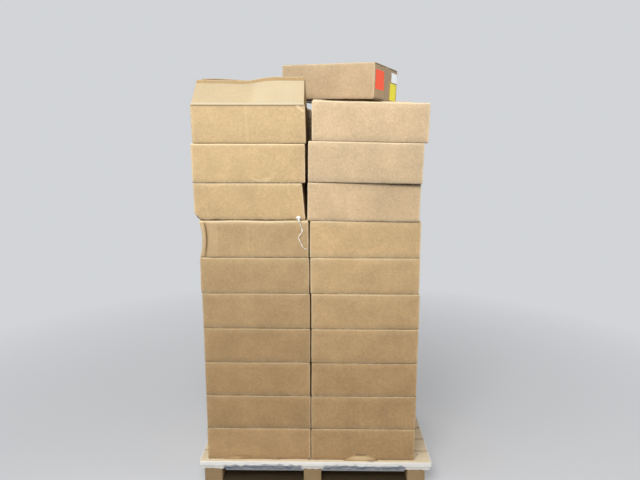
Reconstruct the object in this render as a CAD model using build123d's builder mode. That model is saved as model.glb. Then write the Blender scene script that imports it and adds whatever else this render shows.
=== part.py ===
from build123d import *
import math
import os

# A pallet load of cartons on a nine-block pallet. All sizes are in millimetres.
# The origin is the middle of the pallet on the floor. X runs along the pallet, Y from the
# front of the load to its back, and +Z is up.

# Pallet
pallet_length = 1200.0
pallet_width = 800.0
deck_thickness = 22.0
deck_board_count = 7
deck_board_width = 104.0
stringer_thickness = 22.0
bottom_thickness = 22.0
bottom_outer_width = 100.0
bottom_middle_width = 120.0
block_length = 91.0
block_outer_width = 96.0
block_middle_width = 116.0
block_height = 78.0
block_end_inset = 26.0
block_front_setback = 12.0
block_row_shift = -4.0
middle_block_shift = -11.0
board_edge_chamfer = 2.0
lead_in_chamfer = 10.0

# Stretch film left round the edge of the deck
film_thickness = 1.2
film_clearance = 0.3
film_lip = 3.0
film_tuck_height = 14.0
film_hang = 26.0
film_side_tuck = 20.0
film_tuck_spring = 3.0
film_front_spring = 1.0
film_long_arch = 13.0
film_short_arch = 8.0

# Scrap of torn film and its hanging tail
tail_diameter = 3.6
tail_sides = 6
scrap_sides = 12
scrap_width = 28.0
scrap_height = 22.0
scrap_overhang = 12.0
scrap_inset_from_seam = 36.0
scrap_neck = 12.0
# Sections of the scrap: share of its height, and share of its plan
scrap_profile = [(0, 0.8), (0.35, 1.0), (0.75, 0.75), (1, 0.4)]

# Cartons
carton_length = 530.0
carton_width = 382.0
carton_height = 184.7
board = 5.0
edge_round = 3.0
corner_ease = 3.0
bulge = 1.5
flap_seam = 3.0
flap_end_step = 2.5

# The load: two columns side by side, two cartons deep
layers = 10
column_gap = 5.0
row_gap = 8.0
column_seam_x = -28.0
row_seam_y = 8.0
front_settling = 4.4

# Open carton at the top of the front left column
flap_lean = 50.0
flap_end_cut = 6.0
short_flap_droop = 4.0
tape_width = 50.0
tape_thickness = 0.4
cut_tape_width = 25.0
tape_end_drop = 60.0
hinge_sides = 8

# Loose carton lying on the load
loose_height = 180.0
loose_corner_x = 289.0
loose_corner_y = -108.0
loose_turn = -24.4

# Corners and edges knocked in, each by a plane that meets the carton's three edges at these
# runs from its corner, along X, Y and Z
corner_dent_8 = (30, 60, 36)
end_dent_8 = (-17, 2000, -178)
# Upright edge crushed to a hollow: its runs along X and Y half way up, and how much shallower
# it is at the carton's head and foot
edge_hollow_runs = (21.0, 42.0)
edge_hollow_fade = 14.0

# How each carton stands off its column's line, from the bottom layer to the top:
# shift of its foot and head in X, shift of its foot and head in Y, and its turn in degrees.
front_left_stance = [
    (1, 1, 2, 2, 0),
    (3, 3, 1, 2, 0.1),
    (3, 3.5, 2, 1, -0.1),
    (4, 4, 1, 2, 0.1),
    (4, 3.5, 2, 2, -0.1),
    (0, 0, 2, 1, 0.1),
    (-3, -3, 1, 2, 0),
    (-18, -18, 10, -2, 0.1),
    (-19, -20, -4, -4, 0.3),
    (-12, -16, 0, 0, -0.2),
]
front_right_stance = [
    (9, 8, 0, -1, 0),
    (8, 8, -1, -2, -0.1),
    (6, 6, -2, -2, 0.1),
    (6, 6, -4, -4, -0.1),
    (5.5, 5, -4, -4, 0.1),
    (1, 0.5, -3, -3, 0),
    (-1, 0, -3, -4, -0.1),
    (-7, -6, -8, -11, -1.5),
    (5, 6, -27, -40, -4.5),
    (22, 23, -36, -54, -4.4),
]
rear_left_stance = [
    (-4, -4, 0, 0, 0.1),
    (-1, -2, 0, 1, -0.1),
    (-1, -1, 1, 0, 0.1),
    (-1, -2, 0, 0, 0),
    (-3, -2, 1, 1, 0.1),
    (-1, -1, 1, 0, -0.1),
    (-3, -3, 0, 2, 0.1),
    (-16, -17, 7, 6, 0.2),
    (-14, -14, 5, 4, 0.1),
    (0, -1, 4, 6, -0.2),
]
rear_right_stance = [
    (3, 2, 0, 0, -0.1),
    (1, 0, 1, 1, 0.1),
    (0, 2, 0, 0, -0.2),
    (3, 2, 1, 0, 0.1),
    (1, 0, 0, 1, 0),
    (0, 2, 0, 1, 0.2),
    (2, 4, 0, 1, -0.1),
    (4, 4, 2, 0, 0.1),
    (3, 5, 1, 2, -0.1),
    (2, 4, 2, 3, 0.1),
]
# Unevenness of each layer's top above its even height, from the deck up
front_left_rise = [0, -4, -3.5, -3, -4, -4, -4.5, -1, -4.5, -2.5, -5]
front_right_rise = [0, -4, -3.5, -3, -4, -4, -4, -4.5, -2, 5.5, 3.5]
rear_left_rise = [0, -4, -3, -3, -3.5, -4, -5, -6, -4, -3, -2]
rear_right_rise = [0, -2, -1, -2, -1, 0, 0, 1, 1, 0, 0]
# Slope of each layer's top along X and Y, as rise over run
level_slope = [(0, 0)] * (layers + 1)
front_right_slope = level_slope[:7] + [(-0.003, 0), (-0.009, 0), (-0.0185, 0), (-0.027, 0)]
rear_right_slope = level_slope[:7] + [(-0.004, 0.001), (-0.010, 0.004), (-0.0175, 0.0075),
                                      (-0.0255, 0.0116)]

deck_top = bottom_thickness + block_height + stringer_thickness + deck_thickness
deck_under = deck_top - deck_thickness
stringer_under = deck_under - stringer_thickness
block_columns_x = [
    -pallet_length / 2 + block_end_inset + block_length / 2 + block_row_shift,
    middle_block_shift + block_row_shift,
    pallet_length / 2 - block_end_inset - block_length / 2 + block_row_shift,
]
block_depth = pallet_width - 2 * block_front_setback
block_rows = [
    (-(block_depth - block_outer_width) / 2, block_outer_width, bottom_outer_width),
    (0.0, block_middle_width, bottom_middle_width),
    ((block_depth - block_outer_width) / 2, block_outer_width, bottom_outer_width),
]


def boards(name, plane, length, width, thickness, places, chamfer_size):
    """Planks of one size lying on a plane, their upper edges eased."""
    with BuildPart() as planks:
        with BuildSketch(plane):
            with Locations(*places):
                Rectangle(length, width)
        extrude(amount=thickness)
        upper = planks.faces().group_by(Axis.Z)[-1].edges()
        chamfer(upper, chamfer_size)
    finish(planks.part, name)


def finish(solid, name):
    solid.label = name
    export_step(solid, f"parts/{name}.step")


os.makedirs("parts", exist_ok=True)

# Deck: seven boards along the pallet
deck_pitch = (pallet_width - deck_board_width) / (deck_board_count - 1)
deck_places = [(0, (i - (deck_board_count - 1) / 2) * deck_pitch) for i in range(deck_board_count)]
boards("deck_boards", Plane.XY.offset(deck_under), pallet_length, deck_board_width, deck_thickness,
       deck_places, board_edge_chamfer)

# Three boards across, under the deck and over the rows of blocks
boards("stringer_boards", Plane.XY.offset(stringer_under), block_length, block_depth,
       stringer_thickness, [(x, 0) for x in block_columns_x], board_edge_chamfer)

# Nine blocks
with BuildPart() as blocks:
    for y, width, _ in block_rows:
        with BuildSketch(Plane.XY.offset(bottom_thickness)):
            with Locations(*[(x, y) for x in block_columns_x]):
                Rectangle(block_length, width)
        extrude(amount=block_height)
    chamfer(blocks.edges().filter_by(Axis.Z), board_edge_chamfer)
finish(blocks.part, "blocks")

# Three bottom boards along the pallet, chamfered where forks enter across them
bottom_length = block_columns_x[2] - block_columns_x[0] + block_length
bottom_middle_x = (block_columns_x[0] + block_columns_x[2]) / 2
with BuildPart() as bottom_boards:
    for y, _, width in block_rows:
        with BuildSketch(Plane.XY):
            with Locations((bottom_middle_x, y)):
                Rectangle(bottom_length, width)
        extrude(amount=bottom_thickness)
    long_edges = bottom_boards.edges().filter_by(Axis.X).group_by(Axis.Z)[-1]
    chamfer(long_edges, lead_in_chamfer / 2)
finish(bottom_boards.part, "bottom_boards")


# Film band: a thin skin down the deck's edge and drawn in under it, with a narrow lip on top
film_levels = [
    (deck_top + film_clearance, film_clearance, film_clearance),
    (deck_under - film_clearance, film_clearance, film_clearance),
    (deck_under - film_tuck_height, film_tuck_spring - film_side_tuck,
     film_front_spring + film_clearance - block_front_setback),
    (deck_under - film_hang, -film_side_tuck, 2 * film_clearance - block_front_setback),
]


def film_section(height, grow_x, grow_y, skin=0.0):
    with BuildSketch(Plane.XY.offset(height)) as section:
        Rectangle(pallet_length + 2 * (grow_x + skin), pallet_width + 2 * (grow_y + skin))
        if skin:
            chamfer(section.vertices(), skin)
    return section.sketch


def arch(plane, places, span, rise, reach):
    """Cut shallow arches, each as wide as a fork opening, up into the film's lower edge."""
    with BuildSketch(plane) as openings:
        for middle in places:
            with BuildLine():
                ThreePointArc((middle - span / 2, 0), (middle, rise), (middle + span / 2, 0))
                Polyline((middle + span / 2, 0), (middle + span / 2, -rise),
                         (middle - span / 2, -rise), (middle - span / 2, 0))
            make_face()
    extrude(openings.sketch, amount=reach, both=True, mode=Mode.SUBTRACT)


film_low = deck_under - film_hang
with BuildPart() as film_band:
    loft(sections=[film_section(*level, film_thickness) for level in film_levels], ruled=True)
    extrude(film_section(*film_levels[0], film_thickness), amount=film_thickness)
    loft(sections=[film_section(*level) for level in film_levels], ruled=True, mode=Mode.SUBTRACT)
    extrude(film_section(deck_top, -film_lip, -film_lip), amount=2 * (film_clearance + film_thickness),
            mode=Mode.SUBTRACT)
    bay_span = block_columns_x[1] - block_columns_x[0] - block_length
    bays = [(block_columns_x[i] + block_columns_x[i + 1]) / 2 for i in range(2)]
    arch(Plane.XZ.shift_origin((0, 0, film_low)), bays, bay_span, film_long_arch, pallet_width)
    side_span = block_rows[1][0] - block_rows[0][0] - (block_outer_width + block_middle_width) / 2
    side_bays = [(block_rows[i][0] + block_rows[i + 1][0]) / 2
                 + (1 if i else -1) * (block_middle_width - block_outer_width) / 4 for i in range(2)]
    arch(Plane.YZ.shift_origin((0, 0, film_low)), side_bays, side_span, film_short_arch,
         pallet_length)
finish(film_band.part, "film_band")


class Column:
    """One column of cartons: where its line stands, and the plane of every layer's top."""

    def __init__(self, side, row, stance, pitch, rise, slope):
        self.x = column_seam_x + side * (column_gap + carton_length) / 2
        self.y = row_seam_y + row * (row_gap + carton_width) / 2
        self.stance = stance
        self.pitch = pitch
        self.rise = rise
        self.slope = slope

    def height(self, layer, x, y):
        """Height of a layer's top at a point in plan."""
        slope_x, slope_y = self.slope[layer]
        even = deck_top + self.pitch * layer + self.rise[layer]
        return even + slope_x * (x - self.x) + slope_y * (y - self.y)

    def seat(self, layer, x, y, turn):
        """Plane of a layer's top, with its origin under a carton and its X along the carton."""
        slope_x, slope_y = self.slope[layer]
        normal = Vector(-slope_x, -slope_y, 1).normalized()
        heading = Vector(math.cos(math.radians(turn)), math.sin(math.radians(turn)), 0)
        along = heading - normal * heading.dot(normal)
        return Plane(origin=(x, y, self.height(layer, x, y)), x_dir=along, z_dir=normal)

    def ends(self, layer):
        """Foot and head planes of the carton in a layer, counted from 1."""
        foot_x, head_x, foot_y, head_y, turn = self.stance[layer - 1]
        foot = self.seat(layer - 1, self.x + foot_x, self.y + foot_y, turn)
        head = self.seat(layer, self.x + head_x, self.y + head_y, turn)
        return foot, head


def between(foot, head):
    """Plane half way up a carton."""
    return Plane(origin=(foot.origin + head.origin) / 2, x_dir=foot.x_dir + head.x_dir,
                 z_dir=foot.z_dir + head.z_dir)


def panel_outline(plane, grow):
    """Outline of the four panels on a plane, with the folded corners eased."""
    with BuildSketch(plane) as outline:
        Rectangle(carton_length + 2 * grow, carton_width + 2 * grow)
        chamfer(outline.vertices(), corner_ease)
    return outline.sketch


def carton_wall(foot, head):
    """Loft the four panels: eased at foot and head, and bulged half way up."""
    places = [
        (foot, -edge_round),
        (foot.offset(edge_round), 0),
        (between(foot, head), bulge),
        (head.offset(-edge_round), 0),
        (head, -edge_round),
    ]
    loft(sections=[panel_outline(plane, grow) for plane, grow in places], ruled=True)


def cut_flaps(end, inward):
    """Cut the seam between the two long flaps, and the step at each of their ends."""
    with BuildSketch(end.offset(-inward * board)) as gaps:
        Rectangle(carton_length + 4 * board, flap_seam)
        with Locations((-carton_length / 2, 0), (carton_length / 2, 0)):
            Rectangle(2 * flap_end_step, carton_width + 4 * board)
    extrude(gaps.sketch, amount=inward * 2 * board, mode=Mode.SUBTRACT)


def closed_carton(name, foot, head, dents=(), hollows=()):
    with BuildPart() as carton:
        carton_wall(foot, head)
        cut_flaps(head, 1)
        cut_flaps(foot, -1)
        for dent in dents:
            split(bisect_by=dent, keep=Keep.BOTTOM)
        for plane, radius in hollows:
            with BuildSketch(plane) as scoop:
                Circle(radius)
            extrude(scoop.sketch, amount=carton_width, both=True, mode=Mode.SUBTRACT)
    finish(carton.part, name)


def dent_plane(corner, run_x, run_y, run_z):
    """Plane through three points near a corner, at the given runs from it along X, Y and Z."""
    corner = Vector(*corner)
    normal = Vector(1 / run_x, 1 / run_y, 1 / run_z).normalized()
    return Plane(origin=corner + Vector(run_x, 0, 0), z_dir=normal * -1)


def edge_hollow(foot_corner, head_corner):
    """Plane and radius of a lying round that hollows an upright edge, deepest half way up."""
    run_x, run_y = edge_hollow_runs
    inward = Vector(1 / run_x, 1 / run_y, 0).normalized()
    depth = run_x * inward.X
    half_chord = (head_corner - foot_corner).length / 2
    radius = (half_chord ** 2 + edge_hollow_fade ** 2) / (2 * edge_hollow_fade)
    middle = (foot_corner + head_corner) / 2 - inward * (radius - depth)
    return Plane(origin=middle, z_dir=inward.cross(Vector(0, 0, 1))), radius


front_pitch = carton_height - front_settling
front_left = Column(-1, -1, front_left_stance, front_pitch, front_left_rise, level_slope)
front_right = Column(1, -1, front_right_stance, front_pitch, front_right_rise, front_right_slope)
rear_left = Column(-1, 1, rear_left_stance, front_pitch, rear_left_rise, level_slope)
rear_right = Column(1, 1, rear_right_stance, carton_height, rear_right_rise, rear_right_slope)

# Knocked in: the front left edge of layer 7, the foot of layer 8 above it, and the head of
# layer 8's right end
foot_7, head_7 = front_left.ends(7)
foot_8, head_8 = front_left.ends(8)
near_left = (-carton_length / 2, -carton_width / 2, 0)
hollow_7 = edge_hollow(foot_7.from_local_coords(near_left), head_7.from_local_coords(near_left))
corner_8 = foot_8.from_local_coords(near_left)
end_8 = head_8.from_local_coords((carton_length / 2, -carton_width / 2, 0))
front_left_dents = {8: [dent_plane(corner_8, *corner_dent_8), dent_plane(end_8, *end_dent_8)]}
front_left_hollows = {7: [hollow_7]}

for layer in range(1, layers + 1):
    if layer < layers:
        closed_carton(f"carton_front_left_{layer}", *front_left.ends(layer),
                      front_left_dents.get(layer, ()), front_left_hollows.get(layer, ()))
    closed_carton(f"carton_front_right_{layer}", *front_right.ends(layer))
    closed_carton(f"carton_rear_left_{layer}", *rear_left.ends(layer))
    closed_carton(f"carton_rear_right_{layer}", *rear_right.ends(layer))


# Open carton: hollow, short flaps folded in, both long flaps sprung up and leaning inwards
open_foot, open_head = front_left.ends(layers)
flap_length = carton_width / 2


def long_flap_plane(side):
    """Plane of a raised long flap's section, at its hinge. Side is -1 in front, 1 behind."""
    hinge = open_head.from_local_coords((0, side * (carton_width / 2 - board / 2), -board / 2))
    return Plane(origin=hinge, x_dir=open_head.y_dir * -side, z_dir=open_head.x_dir)


def raised_flap(side):
    plane = long_flap_plane(side)
    tip = Vector(math.sin(math.radians(flap_lean)), math.cos(math.radians(flap_lean)))
    across = Vector(tip.Y, -tip.X) * (board / 2)
    up = 1 if plane.y_dir.Z > 0 else -1
    points = [(across.X, across.Y), (-across.X, -across.Y),
              (flap_length * tip.X - across.X, flap_length * tip.Y - across.Y),
              (flap_length * tip.X + across.X, flap_length * tip.Y + across.Y)]
    with BuildSketch(plane) as profile:
        with BuildLine():
            Polyline(*[(u, up * v) for u, v in points], close=True)
        make_face()
        RegularPolygon(board / 2, hinge_sides)
    extrude(profile.sketch, amount=carton_length / 2 - flap_end_cut, both=True)


def short_flap(side):
    """A short flap folded in from an end wall, drooping a little."""
    hinge = open_head.from_local_coords((side * (carton_length / 2 - board / 2), 0, -board / 2))
    plane = Plane(origin=hinge, x_dir=open_head.x_dir * -side, z_dir=open_head.y_dir)
    up = 1 if plane.y_dir.Z > 0 else -1
    drop = math.tan(math.radians(short_flap_droop)) * flap_length
    with BuildSketch(plane) as profile:
        with BuildLine():
            Polyline((0, up * board / 2), (0, -up * board / 2), (flap_length, -up * (board / 2 + drop)),
                     (flap_length, up * (board / 2 - drop)), close=True)
        make_face()
    extrude(profile.sketch, amount=carton_width / 2 - board - flap_end_cut / 2, both=True)


with BuildPart() as open_carton:
    carton_wall(open_foot, open_head)
    inside = [panel_outline(plane, -board) for plane in (open_foot.offset(2 * board),
                                                         open_head.offset(board))]
    loft(sections=inside, ruled=True, mode=Mode.SUBTRACT)
    cut_flaps(open_foot, -1)
    for side in (-1, 1):
        raised_flap(side)
        short_flap(side)
finish(open_carton.part, "open_carton")

# Tape left along the free edges of the raised flaps, slit down the middle of its width
with BuildPart() as slit_tape:
    for side in (-1, 1):
        plane = long_flap_plane(side)
        up = 1 if plane.y_dir.Z > 0 else -1
        tip = Vector(math.sin(math.radians(flap_lean)), math.cos(math.radians(flap_lean)))
        out = Vector(-tip.Y, tip.X)
        near, far = flap_length - cut_tape_width, flap_length
        low, high = board / 2, board / 2 + tape_thickness
        corners = [tip * near + out * low, tip * far + out * low, tip * far + out * high,
                   tip * near + out * high]
        with BuildSketch(plane):
            with BuildLine():
                Polyline(*[(c.X, up * c.Y) for c in corners], close=True)
            make_face()
        extrude(amount=carton_length / 2 - flap_end_cut, both=True)
finish(slit_tape.part, "slit_tape")

# Loose carton: lies on the rear right column, turned, its near corner over the front row
loose_heading = math.radians(loose_turn)
loose_middle_x = (loose_corner_x - math.cos(loose_heading) * carton_length / 2
                  - math.sin(loose_heading) * carton_width / 2)
loose_middle_y = (loose_corner_y - math.sin(loose_heading) * carton_length / 2
                  + math.cos(loose_heading) * carton_width / 2)
loose_seat = rear_right.seat(layers, loose_middle_x, loose_middle_y, loose_turn)
loose_foot = loose_seat.offset(tape_thickness)
loose_head = loose_foot.offset(loose_height)
closed_carton("carton_loose", loose_foot, loose_head)


def tape_over(foot, head, drop):
    """Tape along the seam of a carton's top, and down both its ends by a drop from the head."""
    inner = []
    for side in (-1, 1):
        reach = side * (carton_length / 2 + bulge)
        base = head.to_local_coords(foot.from_local_coords((reach, 0, 0)))
        low = (reach + (base.X - reach) * drop / abs(base.Z), -drop)
        inner.append([low, (reach, 0)])
    outer = [[(low[0] + side * tape_thickness, low[1]), (top[0] + side * tape_thickness, tape_thickness)]
             for side, (low, top) in zip((-1, 1), inner)]
    with BuildSketch(Plane(origin=head.origin, x_dir=head.x_dir, z_dir=head.y_dir * -1)) as section:
        with BuildLine():
            Polyline(*outer[0], *reversed(outer[1]), *inner[1], *reversed(inner[0]), close=True)
        make_face()
    extrude(section.sketch, amount=tape_width / 2, both=True)


# Tape of the loose carton, down to the foot of its ends
with BuildPart() as loose_tape:
    tape_over(loose_foot, loose_head, loose_height - edge_round)
finish(loose_tape.part, "loose_tape")

# Tape of the three closed cartons whose tops lie open
with BuildPart() as seam_tape:
    for column in (front_right, rear_left, rear_right):
        tape_over(*column.ends(layers), tape_end_drop)
finish(seam_tape.part, "seam_tape")

# Scrap of film pinched between layers 7 and 8: it lies on the ledge that layer 8 leaves free
ledge = front_left.height(7, front_left.x, front_left.y)
front_face_y = front_left.y - carton_width / 2
scrap_x = column_seam_x - column_gap / 2 - scrap_inset_from_seam - scrap_width / 2
face_end = foot_8.from_local_coords((carton_length / 2, -carton_width / 2, 0))
scrap_back = face_end.Y - bulge - film_clearance
scrap_front = front_face_y - scrap_overhang
scrap_y = (scrap_front + scrap_back) / 2

# Route of the tail, which hangs from the scrap over the ledge: across from the scrap's middle,
# out from the cartons' front, and up from the ledge
tail_route = [
    (2, 14, 7), (4, 18, 0), (7, 16, -12), (11, 10, -26), (17, 8, -42), (18, 8, -54), (10, 9, -64),
    (1, 8, -73), (-1, 8, -85), (6, 9, -98), (12, 8, -111), (17, 8, -124), (26, 9, -134), (38, 8, -141),
]
tail_points = [Vector(scrap_x + across, front_face_y - out, ledge + up)
               for across, out, up in tail_route]


def arc_radii(points):
    radii = []
    for before, corner, after in zip(points, points[1:], points[2:]):
        turn = (corner - before).get_angle(after - corner)
        shorter = min((corner - before).length, (after - corner).length)
        radii.append(0.45 * shorter / math.tan(math.radians(turn) / 2))
    return radii


tail_radii = arc_radii(tail_points)
with BuildPart() as film_tail:
    with BuildLine() as tail_path:
        FilletPolyline(*tail_points, radius=tail_radii)
    tail_start = Plane(origin=tail_path.line @ 0, z_dir=tail_path.line % 0)
    with BuildSketch(tail_start):
        RegularPolygon(tail_diameter / 2, tail_sides)
    sweep()
finish(film_tail.part, "film_tail")


def scrap_outline(share):
    """Corners of a many-sided oval, that share of the scrap's full plan."""
    turns = [2 * math.pi * i / scrap_sides for i in range(scrap_sides)]
    return [(scrap_width / 2 * share * math.cos(t), (scrap_back - scrap_front) / 2 * share * math.sin(t))
            for t in turns]


# The scrap is a lump, with a neck that gathers into the tail
with BuildPart() as film_scrap:
    for height, share in scrap_profile:
        with BuildSketch(Plane.XY.offset(ledge + film_clearance + height * scrap_height)):
            with Locations((scrap_x, scrap_y)):
                Polygon(*scrap_outline(share))
    loft(ruled=True)
    with BuildSketch(tail_start):
        RegularPolygon(tail_diameter / 2, tail_sides)
    extrude(amount=-scrap_neck)
finish(film_scrap.part, "film_scrap")
print("tail radii", [round(r, 1) for r in tail_radii], "length", round(tail_path.wire().length, 1))
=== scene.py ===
import math

import bpy
import numpy as np
from bpy.props import FloatProperty, FloatVectorProperty, IntProperty, PointerProperty
from mathutils import Euler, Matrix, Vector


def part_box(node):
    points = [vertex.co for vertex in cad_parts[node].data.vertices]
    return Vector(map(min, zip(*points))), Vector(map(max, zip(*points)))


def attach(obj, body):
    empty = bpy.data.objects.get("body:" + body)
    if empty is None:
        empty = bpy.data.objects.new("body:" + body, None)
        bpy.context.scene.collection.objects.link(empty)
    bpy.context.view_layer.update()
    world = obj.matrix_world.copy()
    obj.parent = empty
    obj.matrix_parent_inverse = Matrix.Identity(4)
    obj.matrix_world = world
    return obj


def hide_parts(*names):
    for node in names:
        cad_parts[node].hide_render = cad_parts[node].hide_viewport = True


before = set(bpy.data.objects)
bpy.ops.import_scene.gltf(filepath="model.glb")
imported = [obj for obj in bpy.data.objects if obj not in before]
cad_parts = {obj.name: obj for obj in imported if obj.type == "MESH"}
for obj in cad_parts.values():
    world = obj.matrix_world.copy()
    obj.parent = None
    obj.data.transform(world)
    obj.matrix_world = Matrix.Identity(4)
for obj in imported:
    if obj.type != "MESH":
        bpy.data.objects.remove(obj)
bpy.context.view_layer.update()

bl_info = {
    "name": "Pallet load of cartons",
    "version": (1, 0, 0),
    "blender": (4, 5, 0),
    "location": "View3D > Sidebar > Pallet load",
    "description": "Builds a pallet load of kraft cartons around its packed frame",
    "category": "Add Mesh",
}

MM = 0.001
FULL_TURN = 2 * math.pi

# Cartons, in millimetres
LAYERS = 10
BOARD = 5.0
FLUTE_PITCH = 7.6
TOP_FOLD_RADIUS = 6.0
FOOT_FOLD_RADIUS = 3.5
CORNER_RADIUS = 2.0
SEAM_HALF = 1.6
SEAM_DEPTH = 3.5
END_STEP = 2.5
END_SLOT_DEPTH = 3.2
SLOT_LOW = BOARD + 1.2
SAG = 0.8
SAG_REACH = 34.0
LIP = 5.0

# Cells of the cartons' grids: plain, where a mark is broad, and where it is fine
CELL = 22.0
FINE_CELL = 8.0
CREASED_CELL = 4.5

# Packing tape, in millimetres
TAPE_HALF = 25.0
TAPE_DROP = 60.0
TAPE_THICKNESS = 0.2
TAPE_LIFT = 0.35
CUT_TAPE_WIDTH = 25.0
CUT_TAPE_INSET = 4.0
CUT_TAPE_THICKNESS = 0.3

# Open carton, in millimetres and degrees
FLAP_LENGTH = 191.0
FLAP_END_CUT = 6.0
FLAP_LEAN = 50.0
FLAP_BOW = 5.0
SHORT_FLAP_DROOP = 4.0
HINGE_BEAD = 1.3
FLOOR_INSET = 22.0

# Pallet, in millimetres
GROWTH_RING = 11.0
PLANK_CELL = 40.0
PLANK_SIDE_CELL = 18.0
ROUGHNESS_OF_SAWING = 0.35

# Nail heads: radius and height over the board of each ring, height of the crown
NAIL_RINGS = [(4.2, -0.6), (4.2, 0.25), (3.0, 0.55)]
NAIL_CROWN = 0.7
NAIL_SIDES = 10

# Film, in millimetres
FILM_SKIN = 0.5
SHRED_SKIN = 0.3
BAND_CORNER_RADIUS = 5.0
LONG_SIDE_TUCK = 11.4
SHORT_SIDE_TUCK = 19.0
TAIL_DIAMETER = 3.6
TAIL_TWIST_PITCH = 55.0
TAIL_START = (-80.5, -378.0, 1405.1)
TAIL_ROUTE = [
    (2, 14, 7), (4, 18, 0), (7, 16, -12), (11, 10, -26), (17, 8, -42), (18, 8, -54), (10, 9, -64),
    (1, 8, -73), (-1, 8, -85), (6, 9, -98), (12, 8, -111), (17, 8, -124), (26, 9, -134), (38, 8, -141),
]

# Shreds round the scrap: reach across and up, and width at the root
WISPS = [(-11, -4, 4.0), (-9, 5, 3.0), (10, -5, 3.5), (7, 6, 3.0), (-3, -10, 3.0)]

# Labels on the loose carton's end: colour, roughness, and from and to across the end and up it, in
# millimetres from its near lower corner
LABELS = {
    "orange": ("#fb5526", 0.5, (16, 145), (52, 148)),
    "white": ("#f1f8fb", 0.5, (274, 376), (108, 158)),
    "yellow": ("#efe428", 0.5, (252, 366), (12, 101)),
}

# Marks of single cartons, in millimetres from the carton's middle unless said otherwise:
# cell, depth_cell: spacing of the grid along and up the carton, and across its depth
# x_lines: further grid lines across X
# rebuilt: corners, numbered 0 or 1 along each axis, that the solid has knocked in
# sag, lip, worn_and_lit_top: sag of the front's upper fold, how far down it is pale, and how much paler, by
# wear and painted highlight
# knocks: from and to, as shares of the half size, push, reach, share of it that fades to the ends
# cuts: a corner, and the runs from it of the plane behind which the surface is pressed flat
# buckles: middle, half width, rise and push of an arc that stands out at the front's foot, painted pale as
# highlight
# creases: from, to, half width and push of a thin ridge on the front, pale as torn liner and painted
# highlight
# shade_lines: from, to, half width and strength of a dark line, most of them painted shade
# strips: from and to across the front, and paleness, a painted highlight
MARKS = {
    "carton_front_left_1": {
        "cell": CREASED_CELL, "buckles": [(-125, 62, 15, 3.5), (88, 22, 9, 4)],
        "knocks": [((1, -1, -1), (1, -1, 1), (4, 0, 0), 60, 0)],
        "shade_lines": [((-134, -191, -66), (-40, -191, -71), 5.0, 0.5),
                    ((86, -191, -82), (128, -191, -84), 6.0, 0.9)]},
    "carton_front_right_1": {
        "cell": CREASED_CELL, "buckles": [(-15, 88, 30, 9)],
        "knocks": [((-1, -1, -1), (-1, -1, 1), (-4.5, 0, 0), 60, 0)],
        "creases": [((-264, -191, 92), (90, -191, 90), 5.0, 0.7)],
        "shade_lines": [((-40, -191, -58), (14, -191, -59), 5.5, 1.0)]},
    "carton_front_left_2": {"knocks": [((1, -1, -1), (1, -1, 1), (3, 0, 0), 60, 0)]},
    "carton_front_right_2": {"knocks": [((-1, -1, -1), (-1, -1, 1), (-3, 0, 0), 60, 0)]},
    "carton_front_left_7": {
        "cell": CREASED_CELL, "depth_cell": FINE_CELL, "sag": 8.0, "lip": 7.0, "worn_and_lit_top": 2.2,
        "x_lines": (-248, -244, -240, -236, -232, -180, -176, -28, -24),
        "rebuilt": [(0, 0, 0), (0, 0, 1)],
        "knocks": [((-1, -1, -1), (-1, -1, 1), (18, 3, 0), 105, 0.72),
                   ((-0.905, -1, -1), (-0.905, -1, 1), (0, 12, 0), 14, 0.25)],
        # Painted shade in the crease beside the knocked-in corner
        "shade_lines": [((-239, -191, -86), (-240, -191, 80), 5.0, 1.0)],
        # Painted highlight on the knocked-in corner's face, and faintly further right
        "strips": [(-262, -244, 0.55), (-236, -176, 0.16)],
        "creases": [((-178, -191, -92), (-176, -191, 92), 5.0, 0.35),
                    ((-26, -191, -60), (-24, -191, 92), 4.0, 0.3)]},
    "carton_front_left_8": {
        "cell": FINE_CELL, "depth_cell": FINE_CELL, "lip": 7.0, "rebuilt": [(0, 0, 0)],
        "cuts": [((-1, -1, -1), (30, 60, 34))],
        "creases": [((-120, -191, 30), (-118, -191, 92), 3.0, 0.4)]},
    "carton_front_right_8": {
        "cell": FINE_CELL,
        # Painted shadow of the carton above, which stands out over this one's right end
        "shade_lines": [((-40, -191, 92), (250, -191, 89), 9.0, 0.8),
                    ((60, -191, 92), (300, -191, 84), 14.0, 1.0)]},
    "carton_front_left_9": {
        "cell": CREASED_CELL,
        "creases": [((14, -191, -69), (66, -191, -87), 4.0, 0.9),
                    ((28, -191, -82), (112, -191, -65), 4.0, 0.7),
                    ((58, -191, -87), (100, -191, -76), 4.0, 1.0),
                    ((112, -191, -50), (136, -191, -40), 3.5, 0.5)]},
    # Painted shade on the front that shows through the gap between the columns
    "carton_rear_left_10": {"shade_lines": [((262, -191, -120), (262, -191, 120), 130.0, 1.2)]},
    "carton_loose": {
        "cell": FINE_CELL,
        # Painted shade under the cut ends of the top flaps
        "shade_lines": [((265, -185, 85), (265, -30, 86), 5.0, 0.8),
                    ((265, 28, 86), (265, 191, 85), 6.0, 1.0)]},
}
CARTON_NODES = [f"carton_{row}_{side}_{layer}" for row in ("front", "rear") for side in ("left", "right")
                for layer in range(1, LAYERS + 1) if (row, side, layer) != ("front", "left", LAYERS)]
CARTON_NODES.append("carton_loose")

# How light the board of each layer is against its colour, by column; left layer 8 is lightened as painted
# light, where its face tilts down from the lamps
LAYER_TONES = {
    "carton_front_left": {1: 1.05, 2: 0.94, 3: 0.94, 4: 0.9, 5: 0.91, 6: 0.91, 7: 0.9, 8: 1.08},
    "carton_front_right": {2: 0.98, 3: 0.98, 4: 1.05, 5: 1.06, 6: 1.09, 7: 1.12, 9: 0.94},
    "carton_loose": {LAYERS: 0.79},
}
TONE_SPREAD = 0.025
# Below this layer the board gets browner, and is fully so this many layers down
BROWN_FROM = 9
BROWN_LAYERS = 6
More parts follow.
